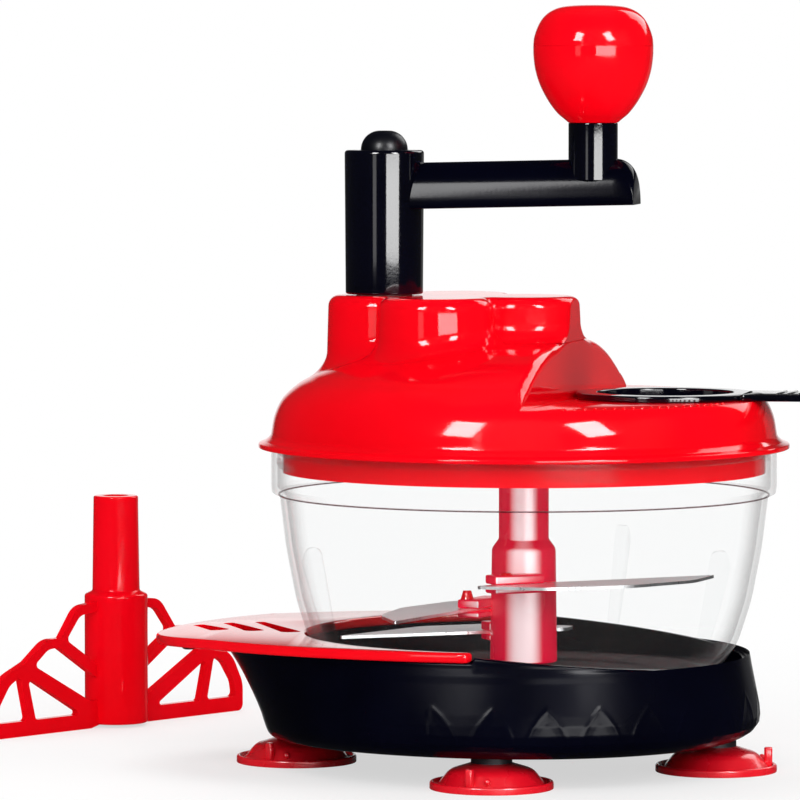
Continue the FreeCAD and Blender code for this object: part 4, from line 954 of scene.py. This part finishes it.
# %% Backdrop
AMBIENT, DARK_ROOM = 0.46, 0.03
world = bpy.data.worlds.new("studio")
bpy.context.scene.world = world
world.use_nodes = True
nodes, links = world.node_tree.nodes, world.node_tree.links
background = nodes["Background"]
background.inputs["Color"].default_value = (1, 1, 1, 1)
coords = nodes.new("ShaderNodeTexCoord")
facing = nodes.new("ShaderNodeVectorMath")
facing.operation = "DOT_PRODUCT"
facing.inputs[1].default_value = DEEP
path = nodes.new("ShaderNodeLightPath")
seen = nodes.new("ShaderNodeMath")
seen.operation = "MAXIMUM"
shown = nodes.new("ShaderNodeMix")
mirror = nodes.new("ShaderNodeMix")
links.new(coords.outputs["Generated"], facing.inputs[0])
links.new(path.outputs["Is Camera Ray"], seen.inputs[0])
links.new(path.outputs["Is Transmission Ray"], seen.inputs[1])
mirror.inputs[2].default_value = AMBIENT
links.new(path.outputs["Is Glossy Ray"], mirror.inputs[0])
links.new(ranged(nodes, links, facing.outputs["Value"], DARK_ROOM, 1.0, 0.955, 0.995, "SMOOTHSTEP"),
          mirror.inputs[3])
links.new(seen.outputs["Value"], shown.inputs[0])
links.new(mirror.outputs[0], shown.inputs[2])
shown.inputs[3].default_value = 1.0
links.new(shown.outputs[0], background.inputs["Strength"])
print("backdrop nodes:", len(nodes))

# %% [markdown]
# Lamps.  Two tall leaning windows, two low strips and a slim light for the arm show only as reflections.  So do a
# lamp behind the object, which draws the rounded rim of the lid's cut, and a weak lower one, which lifts the wall of
# the cut.  Three broad lamps that are never mirrored give the even light.


# %% Lamps
def picture_way(azimuth, elevation):
    """Direction from the object, with azimuth measured from the camera towards picture right, in degrees."""
    a, e = math.radians(azimuth), math.radians(elevation)
    return (RIGHT * math.sin(a) - DEEP * math.cos(a)) * math.cos(e) + Vector((0, 0, math.sin(e)))


def softbox(name, way, distance, width, height, watts, mirrored, lean=0.0):
    """An unseen area lamp that faces the object and is mirrored without lighting it, or lights it unmirrored."""
    data = bpy.data.lights.new(name, "AREA")
    data.shape, data.size, data.size_y, data.energy = "RECTANGLE", width, height, watts
    lamp = bpy.data.objects.new(name, data)
    bpy.context.scene.collection.objects.link(lamp)
    lamp.location = BOWL_AXIS + Vector((0, 0, LAMP_AIM)) + way * distance
    lamp.rotation_euler = (-way).to_track_quat("-Z", "Y").to_euler()
    lamp.rotation_euler.rotate_axis("Z", math.radians(lean))
    lamp.visible_camera, lamp.visible_glossy, lamp.visible_diffuse = False, mirrored, not mirrored


LAMP_AIM, MIRROR_AWAY = 0.14, 1.6
MIRRORED = (("window_left", -30, 27.8, 0.38, 0.68, 25, -4), ("window_right", 31.2, 27.8, 0.38, 0.68, 27, 13),
            ("strip_right", 23, 1.6, 1.1, 0.28, 12.5, 0), ("strip_left", -30, 1.6, 0.28, 0.28, 0.45, 0),
            ("arm_light", -22, 17, 0.10, 0.26, 0.25, 0), ("rim_light", 141, 33, 0.8, 0.8, 6, 0),
            ("wall_light", 152.5, -2, 0.7, 0.5, 0.14, 0))
for name, azimuth, elevation, width, height, watts, lean in MIRRORED:
    softbox(name, picture_way(azimuth, elevation), MIRROR_AWAY, width, height, watts, True, lean)
softbox("fill_front", picture_way(-4, 28), 2.0, 1.4, 1.4, 24, False)
softbox("fill_right", picture_way(58, 22), 1.8, 1.0, 1.0, 9, False)
softbox("softbox_top", DEEP * 0.33 + Vector((0, 0, 0.94)), 1.8, 1.2, 1.2, 14, False)
print("lights:", len(bpy.data.lights))

# %% [markdown]
# Camera.  A long lens from a little above the lid's height, turned eleven degrees towards the prow.

# %% Camera
CAMERA_AWAY, CAMERA_HIGH, AIM_HIGH, CAMERA_ASIDE = 2400.0, 284.0, 145.7, -49.0
camera_data = bpy.data.cameras.new("camera")
camera_data.sensor_width, camera_data.lens = 36.0, 273.6
camera_data.clip_start, camera_data.clip_end = 0.1, 30
camera = bpy.data.objects.new("camera", camera_data)
bpy.context.scene.collection.objects.link(camera)
camera.location = BOWL_AXIS + (RIGHT * CAMERA_ASIDE - DEEP * CAMERA_AWAY + Vector((0, 0, CAMERA_HIGH))) * MM
target = BOWL_AXIS + (RIGHT * CAMERA_ASIDE + Vector((0, 0, AIM_HIGH))) * MM
camera.rotation_euler = (target - camera.location).to_track_quat("-Z", "Y").to_euler()
bpy.context.scene.camera = camera
bpy.context.scene.view_settings.view_transform = "Standard"
print("camera lens:", camera_data.lens, "mm")
